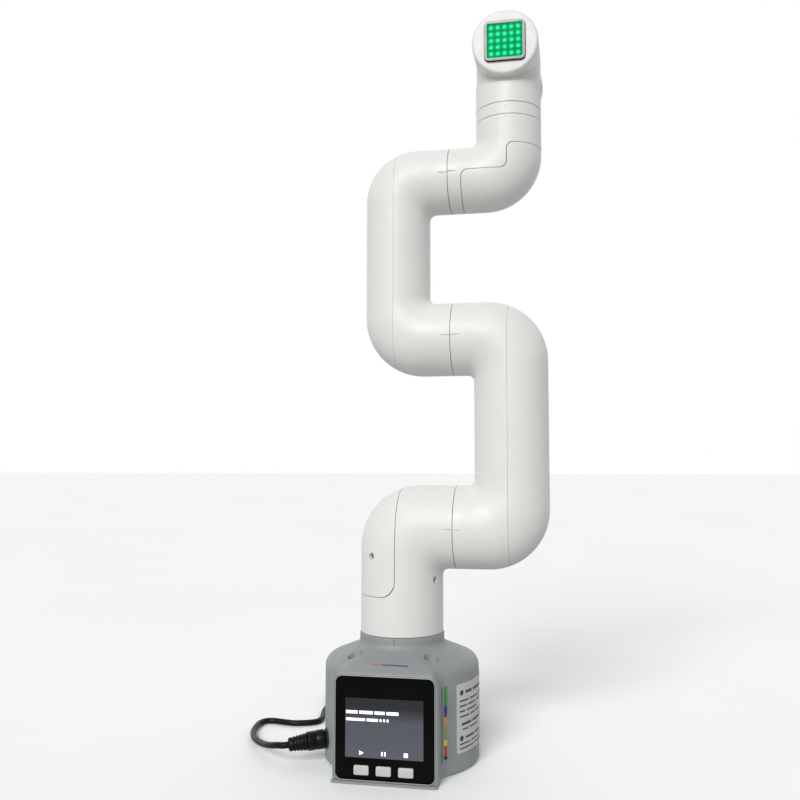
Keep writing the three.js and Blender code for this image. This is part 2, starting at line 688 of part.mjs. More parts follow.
function addForearm() {
  const low = {
    at: at(FOREARM_X, J3_Z), into: LEFT, out: UP, first: R_MIDDLE, second: R_SMALL, outer: OUTER_LARGE,
  };
  const high = {
    at: at(FOREARM_X, J4_Z), into: UP, out: RIGHT, first: R_SMALL, second: R_SMALL, outer: OUTER_SMALL,
  };
  const body = tube(at(J3_SEAM_X - HALF_GAP, J3_Z), at(J4_SEAM_X - HALF_GAP, J4_Z), [low, high]);
  const seam = -1.9;
  const { shell, cover } = splitTube(body, (d) => [
    [seam - 60, J3_Z - 60, 0],
    [seam - d, J3_Z - 60, 0],
    [seam - d, J4_Z + 60, 0],
    [seam - 60, J4_Z + 60, 0],
  ], 0);
  addMesh('forearm_shell', shell, armWhite);
  addMesh('forearm_cover', cover, armWhite);
  const driven = horn(6, -35.4, R_MIDDLE - WALL - 0.6, 1.2 - J3_SEAM_X);
  addMesh('j3_horn', driven.rotateY(-Math.PI / 2).translate(0, 0, J3_Z), bareMetal);
  addMesh('j4_servo', alongX(servo(24, 18, 1, 25, 1.5), J4_Z), servoBlack);
}

// ---- Wrist, joint 4 to joint 5 ------------------------------------------------------------

function addWrist() {
  const bend = {
    at: at(WRIST_X, J4_Z), into: RIGHT, out: UP, first: R_SMALL, second: R_SMALL, outer: WRIST_OUTER,
  };
  const body = tube(at(J4_SEAM_X + HALF_GAP, J4_Z), at(WRIST_X, J5_SEAM_Z - HALF_GAP), [bend]);
  const { shell, cover } = splitTube(body, (d) => [
    [38 + d, J4_Z - 60, 0],
    [WRIST_X + 60, J4_Z - 60, 0],
    [WRIST_X + 60, 353.6 - d, 0],
    [WRIST_X + d, 353.6 - d],
    [WRIST_X + d, 339 - d],
    [38 + d, 339 - d],
  ], 4);
  addMesh('wrist_shell', shell, armWhite);
  addMesh('wrist_cover', cover, armWhite);
  addMesh('j4_horn', alongX(horn(6, 27, R_SMALL - WALL - 0.6, J4_SEAM_X + 1.2), J4_Z), bareMetal);
  addMesh('j5_servo', servo(18, 24, 341, 364, 1.5).translate(WRIST_X, 0, 0), servoBlack);
}

// ---- Head, joint 5 to joint 6 -------------------------------------------------------------

function addHead() {
  const band = ring(R_SMALL - WALL, R_SMALL, J5_SEAM_Z + HALF_GAP, BAND_TOP_Z - HALF_GAP, TUBE);
  addMesh('wrist_band', band.translate(WRIST_X, 0, 0), armWhite);
  addMesh('j5_horn', horn(6, 366, R_SMALL - WALL - 0.6, J5_SEAM_Z + 1.2).translate(WRIST_X, 0, 0), bareMetal);

  const rim = 1.5;
  const barrel = alongJ6(lathe([
    [0, HEAD_FRONT],
    [HEAD_R - rim, HEAD_FRONT],
    [HEAD_R, HEAD_FRONT + rim],
    [HEAD_R, HEAD_BACK],
    [0, HEAD_BACK],
  ]));
  const neck = disc(R_SMALL, BAND_TOP_Z + HALF_GAP, J6_Z, ROUND).translate(WRIST_X, 0, 0);
  const barrelInside = alongJ6(disc(HEAD_R - WALL, HEAD_FRONT + WALL, HEAD_BACK + 5));
  const neckInside = disc(R_SMALL - WALL, BAND_TOP_Z - 5, J6_Z, ROUND).translate(WRIST_X, 0, 0);
  const ledOpening = roundedRectangle(LED_CASE + 0.6, LED_CASE + 0.6, 2.8, WRIST_X, J6_Z);
  let body = solid(barrel).add(solid(neck));
  body = body.subtract(solid(barrelInside)).subtract(solid(neckInside));
  body = body.subtract(solid(extrude(ledOpening, 'xz', -40, HEAD_FRONT + WALL + 1)));
  addMesh('head_shell', body, armWhite);
  addMesh('j6_servo', alongJ6(servo(20, 26, -12, 25, 1.5)), servoBlack);
}

const LED_FRONT = HEAD_FRONT - LED_PROUD;

function addLedModule() {
  const outer = roundedRectangle(LED_CASE, LED_CASE, 2.5, WRIST_X, J6_Z);
  const inner = roundedRectangle(LED_WINDOW + 0.6, LED_WINDOW + 0.6, 1, WRIST_X, J6_Z);
  const shell = solid(extrude(outer, 'xz', LED_FRONT, -16));
  const inside = solid(extrude(inner, 'xz', LED_FRONT - 5, -17.4));
  addMesh('led_case', shell.subtract(inside), ledBezel);
  const pane = roundedRectangle(LED_WINDOW, LED_WINDOW, 0.9, WRIST_X, J6_Z);
  addMesh('led_window', extrude(pane, 'xz', LED_FRONT + 0.4, LED_FRONT + 1.8, 3), ledGreen);
  const board = roundedRectangle(LED_WINDOW - 0.4, LED_WINDOW - 0.4, 0.9, WRIST_X, J6_Z);
  addMesh('led_board', extrude(board, 'xz', LED_FRONT + 3.2, LED_FRONT + 4.6, 3), boardGreen);
}

/** Disc that carries a tool, with four tapped holes round a middle screw. */
function addToolFlange() {
  const low = HEAD_BACK + GAP;
  const recess = 2.4;
  let body = solid(alongJ6(lathe([
    [0, low],
    [17, low],
    [17, low + 2],
    [HEAD_R, low + 2],
    [HEAD_R, FLANGE_Y - 1],
    [HEAD_R - 1, FLANGE_Y],
    [4, FLANGE_Y],
    [4, FLANGE_Y - recess],
    [0, FLANGE_Y - recess],
  ])));
  for (let i = 0; i < 4; i += 1) {
    const angle = Math.PI / 4 + (i * Math.PI) / 2;
    const hole = disc(2, FLANGE_Y - 6, FLANGE_Y + 2, 14);
    body = body.subtract(solid(alongJ6(hole.translate(13 * Math.cos(angle), 13 * Math.sin(angle), 0))));
  }
  addMesh('tool_flange', body, armWhite);
  addMesh('j6_horn', alongJ6(disc(12, low - 3, low - GAP, 24)), bareMetal);
  const head = [
    [0, FLANGE_Y - recess + GAP],
    [3.2, FLANGE_Y - recess + GAP],
    [3.2, FLANGE_Y - 0.5],
    [1.3, FLANGE_Y - 0.5],
    [1.3, FLANGE_Y - 1.5],
    [0, FLANGE_Y - 1.5],
  ];
  addMesh('flange_screw', alongJ6(lathe(head, 16)), bareMetal);
}

addHousing();
addBasePlate();
addBaseScrews();
addFirstDrive();
addController();
addLabels();
addLead();
addAdapter();
addShoulder();
addUpperArm();
addForearm();
addWrist();
addHead();
addLedModule();
addToolFlange();

export default group;
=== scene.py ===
"""Looks of a desktop six-axis collaborative robot arm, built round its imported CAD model."""
import json
import math

import bmesh
import bpy
from mathutils import Matrix, Vector


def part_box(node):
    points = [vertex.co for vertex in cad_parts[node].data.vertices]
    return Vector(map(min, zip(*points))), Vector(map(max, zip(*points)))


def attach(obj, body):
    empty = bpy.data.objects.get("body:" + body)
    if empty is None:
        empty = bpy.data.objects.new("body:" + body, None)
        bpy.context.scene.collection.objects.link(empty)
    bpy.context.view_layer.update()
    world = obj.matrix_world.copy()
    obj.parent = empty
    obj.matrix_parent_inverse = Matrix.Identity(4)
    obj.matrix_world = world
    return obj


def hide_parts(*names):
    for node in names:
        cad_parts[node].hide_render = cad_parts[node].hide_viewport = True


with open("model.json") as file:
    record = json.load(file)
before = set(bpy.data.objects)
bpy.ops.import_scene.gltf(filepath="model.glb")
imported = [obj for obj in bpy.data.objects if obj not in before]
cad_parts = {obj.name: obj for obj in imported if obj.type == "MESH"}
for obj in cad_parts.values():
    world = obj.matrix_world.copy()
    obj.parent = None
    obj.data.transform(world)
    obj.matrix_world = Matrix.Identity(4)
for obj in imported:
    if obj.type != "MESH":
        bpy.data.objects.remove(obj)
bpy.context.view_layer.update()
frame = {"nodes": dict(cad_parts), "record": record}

MM = 0.001
UP = Vector((0, 0, 1))
RIGHT = Vector((1, 0, 0))
LEFT = Vector((-1, 0, 0))
SIDE = Vector((0, 1, 0))

# ---- Sizes shared with the CAD model, in millimetres -----------------------------------------

GAP = 0.3
WALL = 2.0
J2_Z = 131.56
J3_Z = J2_Z + 110.4
J4_Z = J3_Z + 96
J6_Z = J4_Z + 73.18
UPPER_ARM_X = 64.9
FOREARM_X = -2.5
WRIST_X = 64.62
FLANGE_Y = 45.6
J1_SEAM_Z = 71.3
J2_SEAM_X = 33.0
J3_SEAM_X = 31.7
J4_SEAM_X = 30.1
J5_SEAM_Z = 370.3
BAND_TOP_Z = 377.7
R_LARGE = 24.1
R_MIDDLE = 21.6
R_SMALL = 19.25
INNER_FILLET = 4.0
OUTER_LARGE = 35.0
OUTER_SMALL = 30.5
WRIST_OUTER = 32.5
BASE_R = 44.6
SHOULDER_FILLET = 7.0
SHOULDER_Z = 52.1
ROOF_SLOPE = math.atan(0.4)
COLLAR_R = 24.6
COLLAR_BORE = 20.0
COLLAR_FILLET = 4.0
COLLAR_Z = 67.6
BLOCK_HALF = 28.8
FRONT_Y = -47.8
BLOCK_TOP = 56.7
LIP_FRONT = -50.5
LIP_TOP = 1.3
CONTROLLER = 54.6
CONTROLLER_Z = 28.4
CONTROLLER_BACK = -36.0
CONTROLLER_CORNER = 4.0
BUTTON_PITCH = 12.05
BUTTON_MID_X = -0.5
BUTTON_Z = 6.7
BUTTON_X = [BUTTON_MID_X + i * BUTTON_PITCH for i in (-1, 0, 1)]
HEAD_R = 19.2
HEAD_FRONT = -24.0
HEAD_BACK = 34.0
LED_CASE = 23.4
LED_WINDOW = 20.0
LED_PROUD = 1.6
CORD_R = 1.8
CORD_Z = 2.0
JACK_ANGLE = math.radians(207)
JACK_Z = 13.2
PLUG_DROOP = math.radians(4.5)
PLUG_LENGTH = 11.2
BOOT_LENGTH = 10.0
COIL = Vector((-51, 112, 0))
COIL_MID_R = 19.0
ADAPTER = Vector((1, 60.5, 12))
ADAPTER_SIZE = Vector((38, 26, 23.8))
ADAPTER_RELIEF_Z = 7.0
ADAPTER_RELIEF_LENGTH = 16.0

TUBE = 96  # points round an arm tube
ELBOW_STEPS = 26
RUN_STEP = 5.0  # between rings on a straight run


# ---- Camera -----------------------------------------------------------------------------------


def add_camera():
    """A little to the right of the screen and above the base, looking slightly up."""
    camera = bpy.data.objects.new("camera", bpy.data.cameras.new("camera"))
    bpy.context.scene.collection.objects.link(camera)
    camera.location = Vector((101.4, -502.4, 169.4)) * MM
    forward = Vector((-0.1842, 0.98, 0.0754))
    camera.rotation_mode = "QUATERNION"
    camera.rotation_quaternion = forward.to_track_quat("-Z", "Y")
    camera.data.lens = 38.6
    camera.data.sensor_width = 36
    camera.data.shift_x = -0.0175
    camera.data.shift_y = -0.0035
    camera.data.clip_start = 0.01
    bpy.context.scene.camera = camera


# ---- Mesh helpers -----------------------------------------------------------------------------


def add_object(name, data):
    obj = bpy.data.objects.new(name, data)
    bpy.context.scene.collection.objects.link(obj)
    return obj


def mesh_object(name, points, faces):
    """Object from points in millimetres, with its faces turned outwards."""
    mesh = bpy.data.meshes.new(name)
    mesh.from_pydata([Vector(p) * MM for p in points], [], faces)
    work = bmesh.new()
    work.from_mesh(mesh)
    bmesh.ops.recalc_face_normals(work, faces=work.faces)
    work.to_mesh(mesh)
    work.free()
    return add_object(name, mesh)


def bake_modifiers(obj):
    bpy.context.view_layer.update()
    graph = bpy.context.evaluated_depsgraph_get()
    mesh = bpy.data.meshes.new_from_object(obj.evaluated_get(graph))
    obj.modifiers.clear()
    obj.data = mesh


def combine(obj, tool, operation):
    """Cuts, joins or crosses a closed mesh with another, which is used up."""
    modifier = obj.modifiers.new("combine", "BOOLEAN")
    modifier.operation = operation
    modifier.solver = "MANIFOLD"
    modifier.object = tool
    bake_modifiers(obj)
    bpy.data.objects.remove(tool)


def cut(obj, tool):
    combine(obj, tool, "DIFFERENCE")


def copy_of(obj, name):
    return add_object(name, obj.data.copy())


def soften(obj, width, segments=2, degrees=40):
    """Rounds the edges that are sharper than an angle."""
    modifier = obj.modifiers.new("soften", "BEVEL")
    modifier.width = width * MM
    modifier.segments = segments
    modifier.limit_method = "ANGLE"
    modifier.angle_limit = math.radians(degrees)
    modifier.use_clamp_overlap = True
    bake_modifiers(obj)


def smooth(obj, degrees=35):
    obj.data.shade_smooth()
    obj.data.set_sharp_from_angle(angle=math.radians(degrees))


def arc(middle, radius, from_degrees, to_degrees, steps):
    """Points on an arc, for outlines and turned profiles."""
    points = []
    for i in range(steps + 1):
        angle = math.radians(from_degrees + (to_degrees - from_degrees) * i / steps)
        points.append((middle[0] + radius * math.cos(angle), middle[1] + radius * math.sin(angle)))
    return points


def outline(corners, fillet, steps=8):
    """Closed outline with round corners. A corner's third value, if it has one, is its own fillet."""
    points = []
    count = len(corners)
    for i, corner in enumerate(corners):
        here = Vector(corner[:2])
        radius = corner[2] if len(corner) > 2 else fillet
        if radius <= 0:
            points.append(tuple(here))
            continue
        into = (Vector(corners[i - 1][:2]) - here).normalized()
        out = (Vector(corners[(i + 1) % count][:2]) - here).normalized()
        middle = here + (into + out) * radius
        for step in range(steps + 1):
            angle = step / steps * math.pi / 2
            points.append(tuple(middle - out * radius * math.cos(angle) - into * radius * math.sin(angle)))
    return points


def rounded_rectangle(width, height, fillet, x=0.0, y=0.0, steps=8):
    w, h = width / 2, height / 2
    return outline([(x - w, y - h), (x + w, y - h), (x + w, y + h), (x - w, y + h)], fillet, steps)


PLANES = {
    "xy": lambda a, b, c: (a, b, c),
    "xz": lambda a, b, c: (a, c, b),
    "yz": lambda a, b, c: (c, a, b),
}


def prism(name, points, plane, low, high):
    """Outline in one plane, carried along the third axis."""
    place = PLANES[plane]
    count = len(points)
    corners = [place(a, b, low) for a, b in points] + [place(a, b, high) for a, b in points]
    faces = [tuple(range(count)), tuple(range(2 * count - 1, count - 1, -1))]
    for i in range(count):
        after = (i + 1) % count
        faces.append((i, after, count + after, count + i))
    return mesh_object(name, corners, faces)


def slab(name, width, height, fillet, x, z, front, back, steps=8):
    """Rounded rectangle that faces the front, between two depths."""
    return prism(name, rounded_rectangle(width, height, fillet, x, z, steps), "xz", front, back)


def turned(name, profile, place=None, sides=64):
    """Closed turned piece about Z from a list of (radius, z), then put in place by a matrix."""
    points = []
    faces = []
    rings = []
    for radius, z in profile:
        if radius < 1e-6:
            rings.append([len(points)])
            points.append(Vector((0, 0, z)))
            continue
        rings.append(list(range(len(points), len(points) + sides)))
        for i in range(sides):
            angle = 2 * math.pi * i / sides
            points.append(Vector((radius * math.cos(angle), radius * math.sin(angle), z)))
    pairs = list(zip(rings, rings[1:]))
    if len(rings[0]) > 1:
        pairs.append((rings[-1], rings[0]))
    for lower, upper in pairs:
        for i in range(sides):
            after = (i + 1) % sides
            if len(lower) == 1:
                faces.append((lower[0], upper[i], upper[after]))
            elif len(upper) == 1:
                faces.append((lower[i], lower[after], upper[0]))
            else:
                faces.append((lower[i], lower[after], upper[after], upper[i]))
    if place is not None:
        points = [place @ p for p in points]
    return mesh_object(name, points, faces)


def along(direction, origin=(0, 0, 0)):
    """Matrix that lays a piece made about Z along a direction."""
    return Matrix.Translation(origin) @ UP.rotation_difference(Vector(direction)).to_matrix().to_4x4()


def along_j6(x=0.0, z=0.0):
    return Matrix.Translation((WRIST_X + x, 0, J6_Z + z)) @ Matrix.Rotation(-math.pi / 2, 4, "X")


def disc(name, radius, low, high, place=None, sides=48):
    return turned(name, [(0, low), (radius, low), (radius, high), (0, high)], place, sides)


def piece(obj, body, slot, look, replaces=()):
    """Gives a finished piece its material, puts it on its body and hides the CAD nodes it replaces."""
    obj.data.materials.clear()
    obj.data.materials.append(look)
    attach(obj, body)
    if replaces:
        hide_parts(*replaces)
    return obj


def smooth_piece(obj, *details):
    smooth(obj)
    return piece(obj, *details)


# ---- Materials --------------------------------------------------------------------------------


class Look:
    """A material with a shader and a few helpers to wire procedural detail into it."""

    def __init__(self, name):
        self.material = bpy.data.materials.new(name)
        self.material.use_nodes = True
        self.nodes = self.material.node_tree.nodes
        self.links = self.material.node_tree.links
        self.shader = self.nodes["Principled BSDF"]
        self.place = self.nodes.new("ShaderNodeTexCoord").outputs["Object"]

    def set(self, **values):
        for key, value in values.items():
            self.shader.inputs[key.replace("_", " ")].default_value = value

    def noise(self, scale, detail=3.0, stretch=None):
        node = self.nodes.new("ShaderNodeTexNoise")
        node.inputs["Scale"].default_value = scale
        node.inputs["Detail"].default_value = detail
        source = self.place
        if stretch:
            mapping = self.nodes.new("ShaderNodeMapping")
            mapping.inputs["Scale"].default_value = stretch
            self.links.new(source, mapping.inputs["Vector"])
            source = mapping.outputs["Vector"]
        self.links.new(source, node.inputs["Vector"])
        return node.outputs["Fac"]

    def ramp(self, source, stops, constant=False):
        node = self.nodes.new("ShaderNodeValToRGB")
        elements = node.color_ramp.elements
        node.color_ramp.interpolation = "CONSTANT" if constant else "LINEAR"
        for i, (at, colour) in enumerate(stops):
            element = elements[i] if i < 2 else elements.new(at)
            element.position = at
            element.color = (*colour, 1)
        self.links.new(source, node.inputs["Fac"])
        return node.outputs["Color"]

    def math(self, operation, first, second=None):
        node = self.nodes.new("ShaderNodeMath")
        node.operation = operation
        for socket, value in zip(node.inputs, (first, second)):
            if value is None:
                continue
            if isinstance(value, (int, float)):
                socket.default_value = value
            else:
                self.links.new(value, socket)
        return node.outputs["Value"]

    def span(self, source, low, high, low_out, high_out):
        node = self.nodes.new("ShaderNodeMapRange")
        values = {"From Min": low, "From Max": high, "To Min": low_out, "To Max": high_out}
        for key, value in values.items():
            node.inputs[key].default_value = value
        self.links.new(source, node.inputs["Value"])
        return node.outputs["Result"]

    def colour(self, source):
        self.links.new(source, self.shader.inputs["Base Color"])

    def roughness(self, source):
        self.links.new(source, self.shader.inputs["Roughness"])

    def bump(self, source, distance):
        node = self.nodes.new("ShaderNodeBump")
        node.inputs["Distance"].default_value = distance * MM
        self.links.new(source, node.inputs["Height"])
        self.links.new(node.outputs["Normal"], self.shader.inputs["Normal"])


DARK_SPECULAR = 0.22  # of the black lead and its plugs


def shade(colour, factor):
    return tuple(min(1.0, channel * factor) for channel in colour)


def moulded(name, colour, rough, grain=0.03, grain_size=0.35, mottle=0.03, specular=0.5):
    """Moulded plastic: a fine even grain, faint clouds of tone, convex edges painted lighter as a painted
    highlight, and slightly uneven gloss.
    """
    look = Look(name)
    look.set(Specular_IOR_Level=specular)
    cloud = look.noise(45, 4)
    # Convex edges are painted lighter here: a painted highlight, added to the random clouds of tone.
    edge = look.nodes.new("ShaderNodeNewGeometry").outputs["Pointiness"]
    edge_highlight = look.span(edge, 0.52, 0.62, 0, 0.25)
    tone = look.math("ADD", cloud, edge_highlight)
    look.colour(look.ramp(tone, [(0.3, shade(colour, 1 - mottle)), (0.75, shade(colour, 1 + mottle))]))
    look.roughness(look.span(look.noise(160, 3), 0.35, 0.65, rough - 0.05, rough + 0.05))
    look.bump(look.noise(1 / (grain_size * MM), 2), grain)
    return look.material


def turned_metal(name, colour, rough):
    look = Look(name)
    look.set(Metallic=1.0)
    streak = look.noise(300, 4, stretch=(1, 1, 8))
    look.colour(look.ramp(streak, [(0.3, shade(colour, 0.88)), (0.7, shade(colour, 1.05))]))
    look.roughness(look.span(streak, 0.3, 0.7, rough - 0.06, rough + 0.1))
    look.bump(streak, 0.01)
    return look.material


def glass_look():
    """Black front panel: polished, with faint smears in its gloss."""
    look = Look("display_black_gloss")
    look.set(IOR=1.45, Specular_IOR_Level=0.12)
    smear = look.noise(60, 5, stretch=(1, 1, 0.4))
    look.colour(look.ramp(smear, [(0.3, (0.0012, 0.0012, 0.0015)), (0.8, (0.003, 0.003, 0.0035))]))
    look.roughness(look.span(smear, 0.35, 0.75, 0.06, 0.16))
    look.bump(look.noise(25, 1), 0.01)
    return look.material


def screen_look():
    """Backlit panel: blue-grey, darkening to near black towards its top edge as a painted reflection, with a
    fine pixel grid.
    """
    look = Look("lcd_lit_and_painted_reflection")
    split = look.nodes.new("ShaderNodeSeparateXYZ")
    look.links.new(look.place, split.inputs["Vector"])
    height = look.span(split.outputs["Z"], 13 * MM, 44 * MM, 0, 1)
    row = 0.3 * MM
    wave = look.math("SINE", look.math("MULTIPLY", split.outputs["Z"], 2 * math.pi / row))
    tone = look.math("ADD", height, look.math("MULTIPLY", wave, 0.02))
    # Painted reflection: the ramp falls to near black in the top band, in both colour and emission.
    glow = look.ramp(tone, [
        (0.0, (0.062, 0.066, 0.08)),
        (0.6, (0.052, 0.056, 0.068)),
        (0.84, (0.01, 0.011, 0.014)),
    ])
    look.colour(glow)
    look.links.new(glow, look.shader.inputs["Emission Color"])
    look.set(Emission_Strength=0.55)
    look.roughness(look.span(look.noise(200), 0.3, 0.7, 0.2, 0.3))
    return look.material


def lit_marks_look():
    look = Look("screen_marks")
    glow = look.ramp(look.noise(900, 1), [(0.3, (0.75, 0.85, 0.9)), (0.7, (0.95, 1, 1))])
    look.colour(glow)
    look.links.new(glow, look.shader.inputs["Emission Color"])
    look.set(Emission_Strength=0.9)
    return look.material


def led_look():
    """Lit diffuser: five by five bright spots that fade into green."""
    look = Look("led_green_lit")
    pitch = 3.87 * MM
    split = look.nodes.new("ShaderNodeSeparateXYZ")
    look.links.new(look.place, split.inputs["Vector"])
    squares = []
    for axis, middle in (("X", WRIST_X * MM), ("Z", J6_Z * MM)):
        cell = look.math("DIVIDE", look.math("SUBTRACT", split.outputs[axis], middle), pitch)
        off = look.math("SUBTRACT", cell, look.math("ROUND", cell))
        squares.append(look.math("MULTIPLY", off, off))
    distance = look.math("SQRT", look.math("ADD", *squares))
    uneven = look.math("ADD", distance, look.span(look.noise(500), 0.3, 0.7, -0.02, 0.02))
    glow = look.ramp(uneven, [
        (0.14, (0.03, 1.0, 0.42)),
        (0.26, (0.006, 0.6, 0.21)),
        (0.42, (0.0, 0.32, 0.1)),
        (0.7, (0.0, 0.2, 0.06)),
    ])
    look.colour(look.ramp(uneven, [(0.1, (0.002, 0.06, 0.02)), (0.6, (0.0, 0.02, 0.008))]))
    look.links.new(glow, look.shader.inputs["Emission Color"])
    look.set(Emission_Strength=1.15, Roughness=0.45, Specular_IOR_Level=0.03)
    look.bump(look.noise(700, 1), 0.01)
    return look.material


HEADER_COLOURS = (
    (0.265, (0.03, 0.3, 0.04)),
    (0.115, (0.05, 0.03, 0.3)),
    (0.035, (0.25, 0.02, 0.06)),
    (0.115, (0.65, 0.3, 0.1)),
    (0.2, (0.32, 0.31, 0.07)),
    (0.08, (0.75, 0.6, 0.05)),
    (0.14, (0.6, 0.04, 0.03)),
    (0.05, (0.02, 0.02, 0.02)),
)


def header_label_look():
    """Bands of colour from top to bottom, one for each group of pins."""
    look = Look("header_label_print")
    low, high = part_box("header_label")
    split = look.nodes.new("ShaderNodeSeparateXYZ")
    look.links.new(look.place, split.inputs["Vector"])
    down = look.span(split.outputs["Z"], high[2], low[2], 0, 1)
    stops = []
    at = 0.0
    for share, colour in HEADER_COLOURS:
        stops.append((at, colour))
        at += share
    bands = look.ramp(down, stops, constant=True)
    look.colour(bands)
    look.roughness(look.span(look.noise(250), 0.3, 0.7, 0.45, 0.6))
    look.bump(look.noise(1500), 0.01)
    return look.material


def rubber(name, colour, rough):
    """Matt rubber with a little dust in its tone."""
    look = Look(name)
    look.set(Specular_IOR_Level=DARK_SPECULAR)
    dust = look.noise(120, 5)
    look.colour(look.ramp(dust, [(0.35, colour), (0.8, shade(colour, 1.8))]))
    look.roughness(look.span(dust, 0.3, 0.7, rough - 0.08, rough + 0.1))
    look.bump(look.noise(1800, 2), 0.02)
    return look.material


arm_white = moulded(
    "arm_white_plastic", (0.745, 0.732, 0.712), 0.46, grain=0.006, grain_size=0.3, mottle=0.012)
base_grey = moulded("base_grey_plastic", (0.265, 0.292, 0.292), 0.5, grain=0.03, grain_size=0.4, mottle=0.04)
dark_plastic = moulded("dark_plastic", (0.012, 0.012, 0.014), 0.42)
button_grey = moulded("button_grey_plastic", (0.55, 0.55, 0.54), 0.45)
case_grey = moulded("case_grey_plastic", (0.42, 0.44, 0.44), 0.4)
label_paper = moulded("label_paper", (0.56, 0.56, 0.54), 0.5, grain=0.01, grain_size=0.2)
label_ink = moulded("label_ink", (0.045, 0.045, 0.05), 0.5)
strip_red = moulded("strip_red_print", (0.42, 0.12, 0.12), 0.5)
strip_blue = moulded("strip_blue_print", (0.06, 0.07, 0.2), 0.5)
# Grey plastic with a green tint that is painted light from the LEDs.
bezel_grey_and_painted_glow = moulded("led_bezel_plastic_and_painted_glow", (0.33, 0.39, 0.36), 0.4, grain=0.01)
servo_black = moulded("servo_plastic", (0.03, 0.031, 0.034), 0.5)
board_green = moulded("circuit_board", (0.02, 0.12, 0.05), 0.35)
plug_black = moulded("plug_plastic", (0.0035, 0.0035, 0.004), 0.35, grain=0.02, specular=DARK_SPECULAR)
lead_rubber = rubber("lead_rubber", (0.0035, 0.0035, 0.0035), 0.42)
metal = turned_metal("turned_metal", (0.6, 0.61, 0.62), 0.3)
glass = glass_look()
screen = screen_look()
lit_marks = lit_marks_look()
led_lit = led_look()
header_print = header_label_look()

# ---- Cords ------------------------------------------------------------------------------------

jack_out = Vector((math.cos(JACK_ANGLE), math.sin(JACK_ANGLE), 0))
jack_place = jack_out * BASE_R + Vector((0, 0, JACK_Z))
plug_direction = (jack_out * math.cos(PLUG_DROOP) - UP * math.sin(PLUG_DROOP)).normalized()
boot_end = PLUG_LENGTH + GAP + BOOT_LENGTH

# Route of the lead from the plug's boot, round its loop, to the coil behind the base.
LEAD_POINTS = [
    (-61.3, -31, 11.3),
    (-65.4, -29.5, 10.7),
    (-69.8, -26.3, 9.4),
    (-75.6, -20.3, 7.5),
    (-82.3, -11.2, 5.4),
    (-89.1, -0.9, 3.6),
    (-95.0, 10.3, 2.3),
    (-98.6, 19.8, CORD_Z),
    (-100.1, 28.0, CORD_Z),
    (-100.5, 35.4, CORD_Z),
    (-98.3, 40.5, CORD_Z),
    (-94.1, 42.0, CORD_Z),
    (-89.6, 41.5, CORD_Z),
    (-84.2, 40.3, CORD_Z),
    (-78.6, 39.8, CORD_Z),
    (-73.6, 41.0, CORD_Z),
    (-68.6, 43.0, CORD_Z),
    (-65.4, 45.8, CORD_Z),
    (-64.3, 50.4, CORD_Z),
    (-65.1, 56.9, CORD_Z),
    (-66.6, 64.0, CORD_Z),
    (-67.8, 71.5, CORD_Z),
    (-68.4, 79.5, CORD_Z),
    (-70, 87.5, CORD_Z),
    (-71.8, 95, CORD_Z),
]

# Route from the coil to the mains adapter's strain relief.
TAIL_POINTS = [
    (-28.5, 97, 4.8),
    (-29.4, 91, 3.2),
    (-32.4, 85.4, 2.2),
    (-37, 80.6, CORD_Z),
    (-42, 76, CORD_Z),
    (-45.2, 70.6, 2.4),
    (-44.2, 64.8, 4.0),
    (-39.6, 61.2, 5.9),
    (-34.6, 60.5, 6.7),
]

COIL_STEPS = 16  # points in each turn
# Column (in cord radii from the middle of the ring) and layer of each turn. The last is half a turn.
COIL_PLACES = ((2, 0), (0, 0), (-2, 0), (-2, 1), (0, 1), (2, 1))


def ease(t):
    return t * t * (3 - 2 * t)


def coil_points():
    """Five and a half turns, three abreast and two high."""
    points = []
    half_turn = COIL_STEPS // 2
    for turn, (column, layer) in enumerate(COIL_PLACES):
        last = turn == len(COIL_PLACES) - 1
        next_column, next_layer = (column, layer) if last else COIL_PLACES[turn + 1]
        for step in range(half_turn + 1 if last else COIL_STEPS):
            moved = ease(max(0.0, (step / COIL_STEPS - 0.7) / 0.3))
            radius = COIL_MID_R + CORD_R * (column + (next_column - column) * moved)
            height = CORD_Z + 2 * CORD_R * (layer + (next_layer - layer) * moved)
            angle = math.pi - 2 * math.pi * (turn + step / COIL_STEPS)
            points.append(COIL + Vector((radius * math.cos(angle), radius * math.sin(angle), height)))
    return points


def add_cord():
    start = [jack_place + plug_direction * (boot_end - back) for back in (6, 3, 0)]
    end = Vector(TAIL_POINTS[-1]) + RIGHT * 6
    points = [*start, *map(Vector, LEAD_POINTS), *coil_points(), *map(Vector, TAIL_POINTS), end]
    data = bpy.data.curves.new("power_lead", "CURVE")
    data.dimensions = "3D"
    data.bevel_depth = CORD_R * MM
    data.bevel_resolution = 5
    data.resolution_u = 8
    data.use_fill_caps = True
    spline = data.splines.new("BEZIER")
    spline.bezier_points.add(len(points) - 1)
    for knot, point in zip(spline.bezier_points, points):
        knot.co = point * MM
        knot.handle_left_type = "AUTO"
        knot.handle_right_type = "AUTO"
    lead = add_object("power_lead", data)
    bpy.context.view_layer.update()
    length = spline.calc_length()
    piece(lead, "base", "lead_rubber", lead_rubber, ("power_cord_front", "power_cord_rear", "cord_coil"))
    return lead, length


def ribbed(low, high, low_r, high_r, ribs, depth):
    """Profile of a tapered boot with rounded ribs."""
    profile = [(0, low), (low_r - 0.4, low), (low_r, low + 0.4)]
    for i in range(ribs * 6 + 1):
        t = i / (ribs * 6)
        radius = low_r + (high_r - low_r) * t - depth * (0.5 - 0.5 * math.cos(2 * math.pi * ribs * t))
        profile.append((radius, low + 0.6 + (high - low - 1.0) * t))
    profile += [(high_r - 0.3, high), (0, high)]
    return profile


